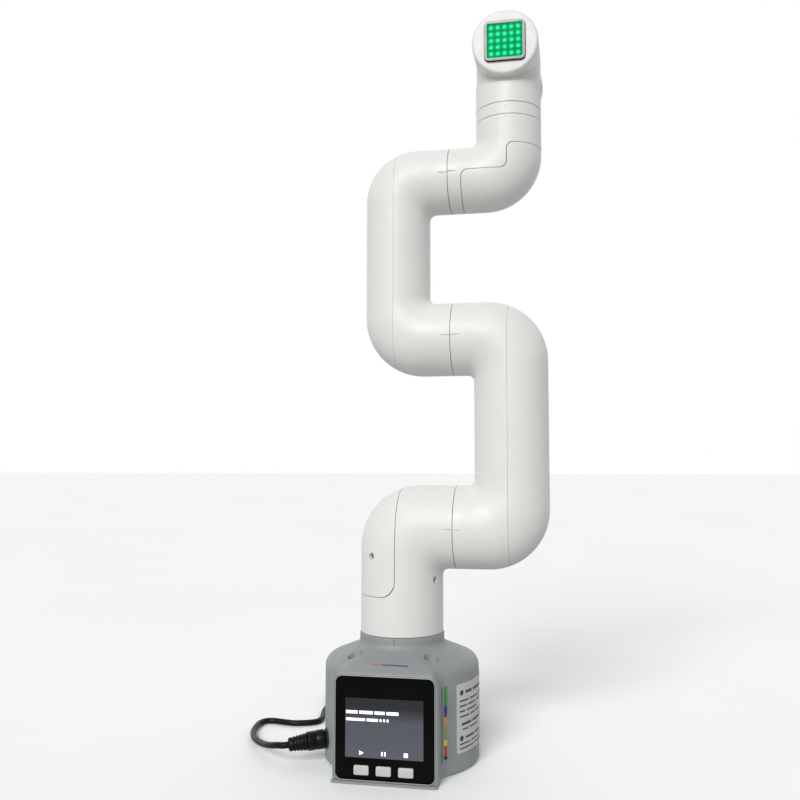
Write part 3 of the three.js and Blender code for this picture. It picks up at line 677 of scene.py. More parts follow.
def add_plug():
    """Moulded plug: a round head with a waist, then a slimmer grooved sleeve round the lead."""
    place = along(plug_direction, jack_place)
    head = [(0, 1.3), (4.9, 1.3), *arc((4.9, 1.7), 0.4, -60, 0, 3)]
    head += [(5.25, 5.6), (5.0, 6.0), (5.0, 6.6), (5.2, 7.0)]
    head += [*arc((4.5, PLUG_LENGTH - 0.6), 0.6, 0, 80, 4), (0, PLUG_LENGTH)]
    plug = turned("barrel_plug", head, place)
    combine(plug, disc("barrel", 2.1, -6, 2, place, 32), "UNION")
    smooth_piece(plug, "base", "plug_black", plug_black, ["dc_plug"])
    low = PLUG_LENGTH + GAP
    sleeve = [(0, low), (4.3, low), (4.6, low + 0.3)]
    for i in range(4):
        z = low + 1.6 + i * 1.9
        radius = 4.5 - 0.22 * i
        sleeve += [(radius, z), (radius - 0.45, z + 0.2), (radius - 0.45, z + 0.7), (radius - 0.05, z + 0.9)]
    sleeve += [(3.6, boot_end - 0.5), *arc((3.1, boot_end - 0.4), 0.4, 10, 80, 3), (0, boot_end)]
    boot = turned("barrel_boot", sleeve, place)
    smooth_piece(boot, "base", "lead_rubber", lead_rubber, ["plug_boot"])
    return [plug, boot]


def add_tie():
    """Strap of hook tape bridged over the coil."""
    low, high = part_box("coil_tie")
    low, high = low / MM, high / MM

    def bridge(side, top, fillet):
        y = (low[1] + side, high[1] - side)
        return outline([(y[0], 0.1, 0), (y[1], 0.1, 0), (y[1], top), (y[0], top)], fillet)

    inner = bridge(0.9, high[2] - 1.1, 1.6)
    outer = bridge(0, high[2], 2.4)
    tie = prism("lead_tie", outer, "yz", low[0], high[0])
    cut(tie, prism("tie_inside", inner, "yz", low[0] - 1, high[0] + 1))
    soften(tie, 0.15)
    smooth_piece(tie, "base", "lead_rubber", lead_rubber, ["coil_tie"])
    return tie


def add_adapter():
    low, high = ADAPTER - ADAPTER_SIZE / 2, ADAPTER + ADAPTER_SIZE / 2
    side = rounded_rectangle(ADAPTER_SIZE.y, ADAPTER_SIZE.z, 4, ADAPTER.y, ADAPTER.z)
    body = prism("mains_adapter", side, "yz", low.x, high.x)
    seam_ring = prism("seam_outer", rounded_rectangle(40, 40, 1, ADAPTER.y, ADAPTER.z), "yz", 9.8, 10.4)
    inside = rounded_rectangle(ADAPTER_SIZE.y - 0.8, ADAPTER_SIZE.z - 0.8, 3.6, ADAPTER.y, ADAPTER.z)
    cut(seam_ring, prism("seam_inner", inside, "yz", 9, 11))
    cut(body, seam_ring)
    soften(body, 0.9, 3)
    smooth_piece(body, "base", "plug_black", plug_black, ["adapter_body"])
    pieces = [body]
    for i, way in enumerate((-1, 1)):
        profile = [(0, GAP), (2.1, GAP), (2.1, 15.9), *arc((0.5, 15.9), 1.6, 0, 90, 6), (0, 17.5)]
        place = along(RIGHT, (high.x, ADAPTER.y + 9 * way, ADAPTER.z))
        pin = turned(f"mains_pin_{i + 1}", profile, place, 32)
        smooth_piece(pin, "base", "bare_metal", metal, [f"adapter_pin_{i + 1}"])
        pieces.append(pin)
    relief = turned(
        "mains_relief",
        ribbed(GAP, ADAPTER_RELIEF_LENGTH, 3.6, 2.5, 7, 0.4),
        along(LEFT, (low.x, ADAPTER.y, ADAPTER_RELIEF_Z)),
    )
    smooth_piece(relief, "base", "lead_rubber", lead_rubber, ["adapter_relief"])
    return [*pieces, relief]


def add_cords():
    lead, length = add_cord()
    on_lead = [*add_plug(), add_tie(), *add_adapter()]


# ---- Arm tubes --------------------------------------------------------------------------------


def section(middle, direction, half, across):
    """Ellipse of points, with one half-width along a direction and the other along Y."""
    points = []
    for i in range(TUBE):
        angle = 2 * math.pi * i / TUBE
        points.append(middle + direction * (half * math.cos(angle)) + SIDE * (across * math.sin(angle)))
    return points


def reach(angle, first, second, inner, outer):
    """Distance from the inner fillet's centre to the outside of an elbow."""
    s, c = math.sin(angle), math.cos(angle)
    to_first, to_second = 2 * first + inner, 2 * second + inner
    x, y = to_second - outer, to_first - outer
    if to_first * s <= x * c:
        return to_first / c
    if to_second * c <= y * s:
        return to_second / s
    middle = x * s + y * c
    return middle + math.sqrt(middle * middle + outer * outer - x * x - y * y)


def elbow_rings(elbow, skin):
    """Rings round an elbow (place, direction in, direction out, radius in, radius out, outer fillet)."""
    at, into, out, first, second, outer = elbow
    r1, r2 = first - skin, second - skin
    inner, outside = INNER_FILLET + skin, outer - skin
    pivot = at - into * (r2 + inner) + out * (r1 + inner)
    rings = []
    for step in range(ELBOW_STEPS + 1):
        t = step / ELBOW_STEPS
        angle = t * math.pi / 2
        direction = into * math.sin(angle) - out * math.cos(angle)
        half = (reach(angle, r1, r2, inner, outside) - inner) / 2
        across = r1 + (r2 - r1) * ease(t)
        rings.append(section(pivot + direction * (inner + half), direction, half, across))
    return rings


def run(first_ring, last_ring):
    """Rings between two rings, at even steps, without the last."""
    gap = (sum(last_ring, Vector()) - sum(first_ring, Vector())).length / TUBE
    steps = max(1, round(gap / RUN_STEP))
    return [[a.lerp(b, i / steps) for a, b in zip(first_ring, last_ring)] for i in range(steps)]


def tube_skin(start, end, elbows, skin):
    """Rings from a tube's start to its end."""
    first, last = elbows[0], elbows[-1]
    radius_in, radius_out = first[3] - skin, last[4] - skin
    previous = section(start, -first[2], radius_in, radius_in)
    rings = []
    for bend in (elbow_rings(elbow, skin) for elbow in elbows):
        rings += run(previous, bend[0])
        rings += bend[:-1]
        previous = bend[-1]
    end_ring = section(end, last[1], radius_out, radius_out)
    return [*rings, *run(previous, end_ring), end_ring]


def tube(name, start, end, elbows):
    """Bent tube through its elbows: a wall with open ends."""
    rings = [*tube_skin(start, end, elbows, 0), *reversed(tube_skin(start, end, elbows, WALL))]
    points = [p for ring in rings for p in ring]
    faces = []
    count = len(rings)
    for j in range(count):
        for i in range(TUBE):
            after = (i + 1) % TUBE
            a, b = j * TUBE, (j + 1) % count * TUBE
            faces.append((a + i, a + after, b + after, b + i))
    return mesh_object(name, points, faces)


def at(x, z):
    return Vector((x, 0, z))


SEAM = 0.36  # where one link turns on the next, or between a cover and its shell
FINE_SEAM = 0.12  # beside the long covers
TICK = 4.8  # length of an alignment mark
TICK_DEPTH = 0.5
TICK_WIDTH = 0.62
DIMPLE_DEPTH = 0.4


def cutter(corners, fillet):
    return prism("cutter", outline(corners, fillet, 12), "xz", -60, 60)


def split(body, corners, fillet, cover_name, seam=SEAM):
    """Cuts a cover out of a tube along an outline in the XZ plane, with a seam between them."""
    cover = copy_of(body, cover_name)
    combine(cover, cutter(corners(seam / 2), fillet), "INTERSECT")
    cut(body, cutter(corners(-seam / 2), fillet))
    return cover


def tick_across(obj, seam_x, radius, z, way):
    """Short engraved line on the front of a level tube, from its seam outwards."""
    ends = sorted((seam_x, seam_x + way * TICK))
    depths = (-radius - 1, -radius + TICK_DEPTH)
    cut(obj, slab("tick", ends[1] - ends[0], TICK_WIDTH, 0.25, sum(ends) / 2, z, *depths))


def dimple(obj, x, z, radius, surface):
    """Small round mark in the front of a tube."""
    cut(obj, disc("dimple", radius, -surface - 1, -surface + DIMPLE_DEPTH, facing_front(x, z), 24))


def facing_front(x, z):
    """Matrix for a piece made about Z that is to lie along Y at a place in the XZ plane."""
    return Matrix.Translation((x, 0, z)) @ Matrix.Rotation(-math.pi / 2, 4, "X")


def finish_shell(obj, body, node):
    """Breaks a shell's edges, smooths it and gives it its material and body."""
    soften(obj, 0.12, 1, 50)
    smooth(obj, 32)
    piece(obj, body, "arm_white", arm_white, [node])


def socket_screw(name, body, place, radius, top, node):
    """Socket head with a hexagonal recess."""
    profile = [(0, top - 2.8), (radius, top - 2.8), (radius, top - 0.3), (radius - 0.3, top), (0, top)]
    screw = turned(name, profile, place, 40)
    cut(screw, disc("hexagon", radius * 0.52, top - 1.4, top + 1, place, 6))
    smooth_piece(screw, body, "bare_metal", metal, [node])


def add_shoulder():
    bend = (at(0, J2_Z), UP, RIGHT, R_LARGE, R_LARGE, OUTER_LARGE)
    shell = tube("shoulder_tube", at(0, J1_SEAM_Z), at(J2_SEAM_X - SEAM / 2, J2_Z), [bend])
    low, top = 93, J2_Z + 60

    def corners(d):
        return [(-50, low + d, 0), (0.3 - d, low + d), (0.3 - d, top, 0), (-50, top, 0)]

    cover = split(shell, corners, 9, "shoulder_rear_cover")
    for obj, name, x, y, z in (
        (cover, "left", -14, -19.3, 115.7),
        (shell, "right", 21.4, -10.9, 102.1),
    ):
        place = along(Vector((x, y, 0)).normalized(), (x, y, z))
        cut(obj, disc("screw_way", 2, -6, 4, place, 32))
        socket_screw(f"shoulder_socket_screw_{name}", "shoulder", place, 1.7, -1.2, f"shoulder_screw_{name}")
    tick_across(shell, J2_SEAM_X - SEAM / 2 - 0.2, R_LARGE, J2_Z + 0.15, -1)
    dimple(shell, 0.3, J1_SEAM_Z + 4.4, 0.55, R_LARGE)
    finish_shell(shell, "shoulder", "shoulder_shell")
    finish_shell(cover, "shoulder", "shoulder_cover")


def add_upper_arm():
    low = (at(UPPER_ARM_X, J2_Z), RIGHT, UP, R_LARGE, R_MIDDLE, OUTER_LARGE)
    high = (at(UPPER_ARM_X, J3_Z), UP, LEFT, R_MIDDLE, R_MIDDLE, OUTER_LARGE)
    ends = (at(J2_SEAM_X + SEAM / 2, J2_Z), at(J3_SEAM_X + SEAM / 2, J3_Z))
    shell = tube("upper_arm_tube", *ends, [low, high])
    seam = 64
    below, above = J2_Z - 60, J3_Z + 60

    def corners(d):
        return [(seam + d, below, 0), (seam + 60, below, 0), (seam + 60, above, 0), (seam + d, above, 0)]

    cover = split(shell, corners, 0, "upper_arm_outer_cover", FINE_SEAM)
    tick_across(shell, J2_SEAM_X + SEAM / 2 + 0.2, R_LARGE, J2_Z - 0.15, 1)
    tick_across(shell, J3_SEAM_X + SEAM / 2 + 0.2, R_MIDDLE, J3_Z + 0.1, 1)
    dimple(shell, 45.7, 212, 0.6, 10.7)
    finish_shell(shell, "upper_arm", "upper_arm_shell")
    finish_shell(cover, "upper_arm", "upper_arm_cover")


def add_forearm():
    low = (at(FOREARM_X, J3_Z), LEFT, UP, R_MIDDLE, R_SMALL, OUTER_LARGE)
    high = (at(FOREARM_X, J4_Z), UP, RIGHT, R_SMALL, R_SMALL, OUTER_SMALL)
    ends = (at(J3_SEAM_X - SEAM / 2, J3_Z), at(J4_SEAM_X - SEAM / 2, J4_Z))
    shell = tube("forearm_tube", *ends, [low, high])
    seam = -1.9
    below, above = J3_Z - 60, J4_Z + 60

    def corners(d):
        return [(seam - 60, below, 0), (seam - d, below, 0), (seam - d, above, 0), (seam - 60, above, 0)]

    cover = split(shell, corners, 0, "forearm_outer_cover", FINE_SEAM)
    tick_across(shell, J3_SEAM_X - SEAM / 2 - 0.2, R_MIDDLE, J3_Z - 0.1, -1)
    tick_across(shell, J4_SEAM_X - SEAM / 2 - 0.2, R_SMALL, J4_Z - 0.2, -1)
    finish_shell(shell, "forearm", "forearm_shell")
    finish_shell(cover, "forearm", "forearm_cover")


def add_wrist():
    bend = (at(WRIST_X, J4_Z), RIGHT, UP, R_SMALL, R_SMALL, WRIST_OUTER)
    shell = tube("wrist_tube", at(J4_SEAM_X + SEAM / 2, J4_Z), at(WRIST_X, J5_SEAM_Z - SEAM / 2), [bend])
    cover = split(shell, lambda d: [
        (38 + d, J4_Z - 60, 0), (WRIST_X + 60, J4_Z - 60, 0), (WRIST_X + 60, 353.6 - d, 0),
        (WRIST_X + d, 353.6 - d), (WRIST_X + d, 339 - d), (38 + d, 339 - d)], 4, "wrist_lower_cover")
    tick_across(shell, J4_SEAM_X + SEAM / 2 + 0.2, R_SMALL, J4_Z + 0.4, 1)
    dimple(shell, WRIST_X, J5_SEAM_Z - 1.6, 0.5, R_SMALL)
    finish_shell(shell, "wrist", "wrist_shell")
    finish_shell(cover, "wrist", "wrist_cover")


# ---- Head -------------------------------------------------------------------------------------

LED_FRONT = HEAD_FRONT - LED_PROUD


HEAD_TAPER = 1.1  # from the middle of the head to its back


def led_square(name, size, corner, front, back):
    """Rounded square in line with the LED window."""
    return slab(name, size, size, corner, WRIST_X, J6_Z, front, back)


def add_head():
    upright = Matrix.Translation((WRIST_X, 0, 0))
    band = turned("wrist_ring", [
        (R_SMALL - WALL, J5_SEAM_Z + SEAM / 2),
        (R_SMALL, J5_SEAM_Z + SEAM / 2),
        (R_SMALL, BAND_TOP_Z - SEAM / 2),
        (R_SMALL - WALL, BAND_TOP_Z - SEAM / 2),
    ], upright, TUBE)
    dimple(band, WRIST_X, J5_SEAM_Z + 4.6, 0.5, R_SMALL)
    soften(band, 0.15, 1)
    smooth_piece(band, "head", "arm_white", arm_white, ["wrist_band"])

    rim = 1.6
    barrel = turned("head_tube", [
        (0, HEAD_FRONT),
        (HEAD_R - rim, HEAD_FRONT),
        *arc((HEAD_R - rim, HEAD_FRONT + rim), rim, -80, 0, 6),
        (HEAD_R, 6),
        (HEAD_R - HEAD_TAPER, HEAD_BACK - 0.4),
        (HEAD_R - HEAD_TAPER - 0.4, HEAD_BACK),
        (0, HEAD_BACK),
    ], along_j6(), TUBE)
    neck = disc("neck", R_SMALL, BAND_TOP_Z + SEAM / 2, J6_Z, upright, TUBE)
    # The neck steps in a little above a roof-shaped line just below the barrel.
    inset = 0.45
    slope = 0.29
    eave = 389.2
    reach_out = R_SMALL + 2
    roof = [(-reach_out, eave), (0, eave + slope * reach_out), (reach_out, eave)]
    roof += [(reach_out, J6_Z + 1), (-reach_out, J6_Z + 1)]
    step = prism("step", roof, "yz", WRIST_X - 30, WRIST_X + 30)
    cut(step, disc("core", R_SMALL - inset, 370, J6_Z + 5, upright, TUBE))
    cut(neck, step)
    combine(barrel, neck, "UNION")
    cut(barrel, disc("inside", HEAD_R - WALL, HEAD_FRONT + WALL, HEAD_BACK + 5, along_j6(), 64))
    cut(barrel, disc("neck_inside", R_SMALL - WALL, BAND_TOP_Z - 5, J6_Z, upright, 64))
    cut(barrel, led_square("led_opening", LED_CASE + 0.5, 2.8, -40, HEAD_FRONT + WALL + 1))
    soften(barrel, 0.12, 1, 50)
    smooth(barrel, 32)
    piece(barrel, "head", "arm_white", arm_white, ["head_shell"])


def add_led_module():
    case = led_square("led_module_case", LED_CASE, 2.5, LED_FRONT + 0.55, -16)
    cut(case, led_square("well", LED_WINDOW + 0.5, 1, LED_FRONT - 1, -17.4))
    soften(case, 0.15)
    smooth_piece(case, "head", "led_bezel", dark_plastic, ["led_case"])
    bezel = led_square("led_front_frame", LED_CASE - 0.1, 2.5, LED_FRONT, LED_FRONT + 0.5)
    cut(bezel, led_square("hole", LED_WINDOW + 0.35, 0.9, LED_FRONT - 1, LED_FRONT + 1.5))
    soften(bezel, 0.22, 3)
    # The frame's green tint is painted LED light on grey plastic.
    smooth_piece(bezel, "head", "led_bezel", bezel_grey_and_painted_glow)
    pane = led_square("led_pane", LED_WINDOW, 0.8, LED_FRONT + 0.35, LED_FRONT + 1.8)
    soften(pane, 0.2, 2)
    smooth_piece(pane, "led_button", "led_green", led_lit, ["led_window"])


def add_flange():
    low = HEAD_BACK + GAP
    recess = FLANGE_Y - 2.4
    flange = turned("tool_disc", [
        (0, low), (16.8, low), (17, low + 0.2), (17, low + 2), (HEAD_R - 0.3, low + 2), (HEAD_R, low + 2.3),
        (HEAD_R, FLANGE_Y - 1), *arc((HEAD_R - 1, FLANGE_Y - 1), 1, 20, 90, 4),
        (8.2, FLANGE_Y), (8, FLANGE_Y - 0.4), (7.4, FLANGE_Y - 0.4), (7.2, FLANGE_Y),
        (4.2, FLANGE_Y), (4, FLANGE_Y - 0.2), (4, recess), (0, recess),
    ], along_j6(), TUBE)
    for i in range(4):
        angle = math.pi / 4 + i * math.pi / 2
        place = along_j6(13 * math.cos(angle), 13 * math.sin(angle))
        cut(flange, disc("hole", 2, FLANGE_Y - 6, FLANGE_Y + 2, place, 32))
        cone = [(0, FLANGE_Y - 0.5), (2, FLANGE_Y - 0.5), (3, FLANGE_Y + 0.5), (0, FLANGE_Y + 0.5)]
        cut(flange, turned("sink", cone, place, 32))
    cut(flange, disc("dot", 0.6, FLANGE_Y - 0.4, FLANGE_Y + 1, along_j6(0, 17), 24))
    smooth_piece(flange, "flange", "arm_white", arm_white, ["tool_flange"])
    socket_screw("flange_socket_screw", "flange", along_j6(), 3.2, FLANGE_Y - 0.4, "flange_screw")


# ---- Base -------------------------------------------------------------------------------------

BLOCK_CORNER = 1.6
BLOCK_ROOF = 54.4  # where the block's front starts to curve back
BASE_ROOF_TOP = 62.0  # where the block has run out into the round body
BLOCK_SHOULDER = 14.0  # rounding between the block's sides and its roof
ROUND_RIM = 1.4
JOIN = 1.6  # softness of the inner corner where the block meets the round body
ROOF_JOIN = 1.4  # added to it on the roof
ROOF_RISE = math.tan(ROOF_SLOPE)
SHOULDER_END_R = BASE_R - SHOULDER_FILLET * (1 - math.sin(ROOF_SLOPE))
SHOULDER_END_Z = SHOULDER_Z + SHOULDER_FILLET * math.cos(ROOF_SLOPE)
COLLAR_START_Z = COLLAR_Z - COLLAR_FILLET * math.cos(ROOF_SLOPE)


def polar_rectangle(angle, half, front, corner):
    """Distance from the middle to a rounded rectangle's edge, for the block's half of the plan."""
    c, s = math.cos(angle), math.sin(angle)
    if s >= -0.05:
        return 0.0
    to_front = front / s
    to_side = half / abs(c) if abs(c) > 1e-6 else 1e9
    middle = Vector((half - corner, front + corner))
    direction = Vector((abs(c), s))
    x, y = direction * min(to_front, to_side)
    if x > middle.x and y < middle.y:
        along_ray = middle.dot(direction)
        return along_ray + math.sqrt(max(0.0, along_ray**2 - middle.length_squared + corner**2))
    return min(to_front, to_side)


def softer_max(a, b, softness):
    """Larger of two values, blended where they are close."""
    near = max(0.0, 1 - abs(a - b) / (2 * softness))
    return max(a, b) + softness * near * near / 2


def round_radius(z):
    """Round body: upright side, shoulder, sloping roof and the collar's foot."""
    if z <= SHOULDER_Z:
        return BASE_R - max(0.0, GAP + ROUND_RIM - z)
    if z <= SHOULDER_END_Z:
        return BASE_R - SHOULDER_FILLET + math.sqrt(SHOULDER_FILLET**2 - (z - SHOULDER_Z) ** 2)
    if z <= COLLAR_START_Z:
        return SHOULDER_END_R - (z - SHOULDER_END_Z) / ROOF_RISE
    if z <= COLLAR_Z:
        return COLLAR_R + COLLAR_FILLET - math.sqrt(COLLAR_FILLET**2 - (COLLAR_Z - z) ** 2)
    return COLLAR_R


def block_radius(angle, z):
    """Block that holds the screen, with a roof that slopes up to the round body's."""
    foot = max(0.0, GAP + ROUND_RIM - z)
    front = FRONT_Y + foot * 0.4
    if z > BLOCK_ROOF:
        # A quarter ellipse that runs into a slope of one in three.
        lift = min(1.0, (z - BLOCK_ROOF) / (BLOCK_TOP + 1.0 - BLOCK_ROOF))
        front += 3.0 * (1 - math.sqrt(1 - lift * lift)) + max(0.0, z - BLOCK_TOP - 1.0) * 3
    half = BLOCK_HALF
    floor = BASE_ROOF_TOP - BLOCK_SHOULDER
    if z > floor:
        lift = min(1.0, (z - floor) / BLOCK_SHOULDER)
        half -= BLOCK_SHOULDER * (1 - math.sqrt(1 - lift * lift))
    return polar_rectangle(angle, half, min(front, -1.0), BLOCK_CORNER)


def plan_radius(angle, z):
    """Outside of the housing at a height, as seen from above."""
    round_body = round_radius(z)
    if z >= BASE_ROOF_TOP:
        return round_body
    softness = JOIN + ROOF_JOIN * max(0.0, min(1.0, (z - 54) / 4))
    fade = min(1.0, (BASE_ROOF_TOP - z) / 1.5)
    return round_body + (softer_max(round_body, block_radius(angle, z), softness) - round_body) * fade


def plan_angles():
    """Even angles, with extra ones near the block's corners and its joins with the round body."""
    angles = {round(i * 2.0, 3) for i in range(180)}
    for middle, spread in ((-60, 5), (-120, 5), (-52, 6), (-128, 6)):
        steps = int(spread * 8)
        angles |= {round((middle + i * 0.25) % 360, 3) for i in range(-steps // 2, steps // 2 + 1)}
    return [math.radians(a) for a in sorted(angles)]


def housing_levels():
    """Heights of the housing's rings, close together where it curves."""
    levels = [GAP, GAP + ROUND_RIM / 2, GAP + ROUND_RIM]
    for top, steps in ((SHOULDER_Z, 13), (SHOULDER_END_Z, 26), (COLLAR_START_Z, 18), (COLLAR_Z, 8)):
        low = levels[-1]
        levels += [low + (top - low) * i / steps for i in range(1, steps + 1)]
    return levels


def add_housing_body():
    angles = plan_angles()
    top = J1_SEAM_Z - SEAM
    rows = [([plan_radius(a, z) for a in angles], z) for z in housing_levels()]
    rows += [([COLLAR_R] * len(angles), top - 0.5)]
    rows += [([r] * len(angles), z) for r, z in arc((COLLAR_R - 0.5, top - 0.5), 0.5, 30, 90, 3)]
    rings = [[(r * math.cos(a), r * math.sin(a), z) for r, a in zip(radii, angles)] for radii, z in rows]
    count = len(angles)
    points = [p for ring in rings for p in ring]
    faces = [tuple(range(count)), tuple(range((len(rings) - 1) * count, len(rings) * count))]
    for j in range(len(rings) - 1):
        for i in range(count):
            after = (i + 1) % count
            faces.append((j * count + i, j * count + after, (j + 1) * count + after, (j + 1) * count + i))
    return mesh_object("base_housing_shell", points, faces)


BASE_SCREWS = [(-21.6, -25.6), (21.6, -25.6), (21.6, 25.6), (-21.6, 25.6)]
SCREW_FLOOR = 55.0
SCREW_RECESS_R = 4.3
HEADER_Y = -36.0
HEADER_Z = 28.25
HEADER_SLOT = 2.6


def add_housing():
    body = add_housing_body()
    cut(body, disc("bore", COLLAR_BORE, 58, 80, None, 72))
    size = CONTROLLER + 0.5
    depths = (-60, CONTROLLER_BACK + 0.8)
    cut(body, slab("opening", size, size, CONTROLLER_CORNER + 0.2, 0, CONTROLLER_Z, *depths))
    for i, (x, y) in enumerate(BASE_SCREWS):
        place = Matrix.Translation((x, y, 0))
        cut(body, disc("counterbore", SCREW_RECESS_R, SCREW_FLOOR, 80, place, 40))
        name = f"base_socket_screw_{i + 1}"
        socket_screw(name, "base", place, 3.2, SCREW_FLOOR + 3.2, f"base_screw_{i + 1}")
    width = 2 * BLOCK_HALF
    for top, back in ((GAP + 0.4, FRONT_Y + 1), (LIP_TOP, FRONT_Y - GAP)):
        corner = min(1.8, (back - LIP_FRONT) / 2.2)
        plan = rounded_rectangle(width, back - LIP_FRONT, corner, 0, (back + LIP_FRONT) / 2)
        combine(body, prism("lip", plan, "xy", GAP, top), "UNION")
    slot = rounded_rectangle(12, 39.5, 1.1, HEADER_Y, HEADER_Z)
    slot = [(HEADER_Y + (a - HEADER_Y) * HEADER_SLOT / 12, b) for a, b in slot]
    cut(body, prism("header_way", slot, "yz", 22, 40))
    cut(body, disc("jack_way", 5.8, -12, 8, along(jack_out, jack_place), 48))
    usb = rounded_rectangle(7.5, 4.5, 1.5, -39.75, 24.25)
    cut(body, prism("usb_way", usb, "yz", -40, -22))
    depths = (-COLLAR_R - 3, -COLLAR_R + TICK_DEPTH)
    cut(body, slab("tick", TICK_WIDTH, 3.0, 0.25, 0.3, J1_SEAM_Z - 2.4, *depths))
    soften(body, 0.3, 2, 50)
    smooth(body, 30)
    piece(body, "base", "base_grey", base_grey, ["base_housing"])


def add_jack():
    place = along(jack_out, jack_place)
    jack = turned("power_socket", [
        (4, -10), (5.5, -10), (5.5, 0.3), (5.1, 0.7), (4.4, 0.7), (4, 0.3)], place)
    smooth_piece(jack, "base", "dark_plastic", dark_plastic, ["dc_jack"])


def curved_patch(name, from_degrees, to_degrees, low, high, inner, outer, corner=0.0):
    """Thin patch that hugs the round body, with cut corners."""
    across = max(2, math.ceil((to_degrees - from_degrees) * 1.2))
    rows = []
    levels = [(low, corner), (low + corner * 0.3, corner * 0.3), (low + corner, 0)]
    levels += [(high - corner, 0), (high - corner * 0.3, corner * 0.3), (high, corner)]
    if corner == 0:
        levels = [(low, 0), (high, 0)]
    for z, cut in levels:
        cut_degrees = math.degrees(cut / outer)
        start, end = from_degrees + cut_degrees, to_degrees - cut_degrees
        rows.append([(math.radians(start + (end - start) * i / across), z) for i in range(across + 1)])
    points = []
    for radius in (outer, inner):
        for row in rows:
            points += [(radius * math.cos(a), radius * math.sin(a), z) for a, z in row]
    width = across + 1
    height = len(rows)
    layer = width * height
    faces = []
    for j in range(height - 1):
        for i in range(across):
            a = j * width + i
            faces.append((a, a + 1, a + width + 1, a + width))
            faces.append((layer + a, layer + a + width, layer + a + width + 1, layer + a + 1))
    edge = [*range(width)]
    edge += [j * width + across for j in range(1, height)]
    edge += [(height - 1) * width + i for i in range(across - 1, -1, -1)]
    edge += [j * width for j in range(height - 2, 0, -1)]
    for a, b in zip(edge, edge[1:] + edge[:1]):
        faces.append((a, b, layer + b, layer + a))
    return mesh_object(name, points, faces)


def join(objects, name):
    """Makes one mesh of several."""
    work = bmesh.new()
    for obj in objects:
        work.from_mesh(obj.data)
        bpy.data.objects.remove(obj)
    mesh = bpy.data.meshes.new(name)
    work.to_mesh(mesh)
    work.free()
    return add_object(name, mesh)


# Rows of plain bars on the rating label: height of the row, of its bars, and each bar's angles.
LABEL_ROWS = (
    (43.0, 1.6, ((-27.5, -19), (-17, 0))),
    (38.6, 0.9, ((-34, -24), (-22, -7), (-5, 6))),
    (35.8, 0.9, ((-34, -26), (-24, -12), (-10, 10))),
    (33.0, 0.9, ((-34, -28), (-26, -10))),
    (30.2, 0.9, ((-34, -23), (-21, -14), (-12, 4))),
    (26.0, 1.4, ((-32, -20), (-18, -2), (0, 12))),
    (23.2, 0.8, ((-31, -24), (-22, -8))),
    (18.6, 1.2, ((-27.5, -16), (-14, -1))),
    (15.6, 0.8, ((-34, -22), (-20, -4), (-2, 8))),
    (13.2, 0.8, ((-34, -16), (-14, 6))),
)


def add_labels():
    inner, outer = BASE_R + 0.06, BASE_R + 0.34
    label = curved_patch("rating_plate", -37, 32, 10.8, 47.9, inner, outer, 1.2)
    smooth_piece(label, "base", "label_paper", label_paper, ["rating_label"])
    bars = []
    for z, height, spans in LABEL_ROWS:
        for start, end in spans:
            heights = (z - height / 2, z + height / 2)
            bars.append(curved_patch("bar", start, end, *heights, outer - 0.02, outer + 0.03))
    outward = Vector((math.cos(math.radians(-32)), math.sin(math.radians(-32)), 0))
    for z in (43.0, 18.6):
        bars.append(disc("spot", 1.5, -0.05, 0.04, along(outward, outward * outer + UP * z), 24))
    ink = join(bars, "rating_print")
    piece(ink, "base", "label_paper", label_ink)
    header = curved_patch("header_strip", -49.2, -46, 9.9, 48.2, inner, outer)
    smooth_piece(header, "base", "label_colours", header_print, ["header_label"])
    pins = prism("header_block", rounded_rectangle(2.0, 38.5, 0.3, HEADER_Y, HEADER_Z), "yz", 24.8, 27.9)
    smooth_piece(pins, "base", "dark_plastic", dark_plastic, ["pin_header"])


def roof_height(x, y):
    """Height of the housing's top above a place in front of the collar."""
    angle, distance = math.atan2(y, x), math.hypot(x, y)
    low, high = BLOCK_ROOF, BASE_ROOF_TOP + 2
    for _ in range(24):
        middle = (low + high) / 2
        if plan_radius(angle, middle) > distance:
            low = middle
        else:
            high = middle
    return low


STRIP_Y = -40.1
STRIP_WIDTH = 1.2


def add_top_strip():
    """Printed line above the screen: a short red stretch, then blue."""
    lines = (("top_line_red", strip_red, -9.3, -3), ("top_line_blue", strip_blue, -3, 11.2))
    for name, look, start, end in lines:
        steps = 8
        points = []
        for i in range(steps + 1):
            x = start + (end - start) * i / steps
            for y in (STRIP_Y, STRIP_Y + STRIP_WIDTH):
                points.append((x, y, roof_height(x, y) + 0.04))
                points.append((x, y, roof_height(x, y) - 0.3))
        faces = [(0, 1, 3, 2), (4 * steps, 4 * steps + 2, 4 * steps + 3, 4 * steps + 1)]
        for i in range(steps):
            a = 4 * i
            faces += [(a, a + 2, a + 6, a + 4), (a + 1, a + 5, a + 7, a + 3)]
            faces += [(a, a + 4, a + 5, a + 1), (a + 2, a + 3, a + 7, a + 6)]
        strip = mesh_object(name, points, faces)
        smooth_piece(strip, "base", "label_colours", look)


GLASS_FRONT = FRONT_Y + 0.1
GLASS_BACK = FRONT_Y + 1.8


LCD_X = -0.25
LCD_Z = 28.55


def controller_square(name, margin, front, back):
    """Square in line with the controller, smaller than it by a margin on each side."""
    size = CONTROLLER - 2 * margin
    return slab(name, size, size, CONTROLLER_CORNER - margin, 0, CONTROLLER_Z, front, back, 12)


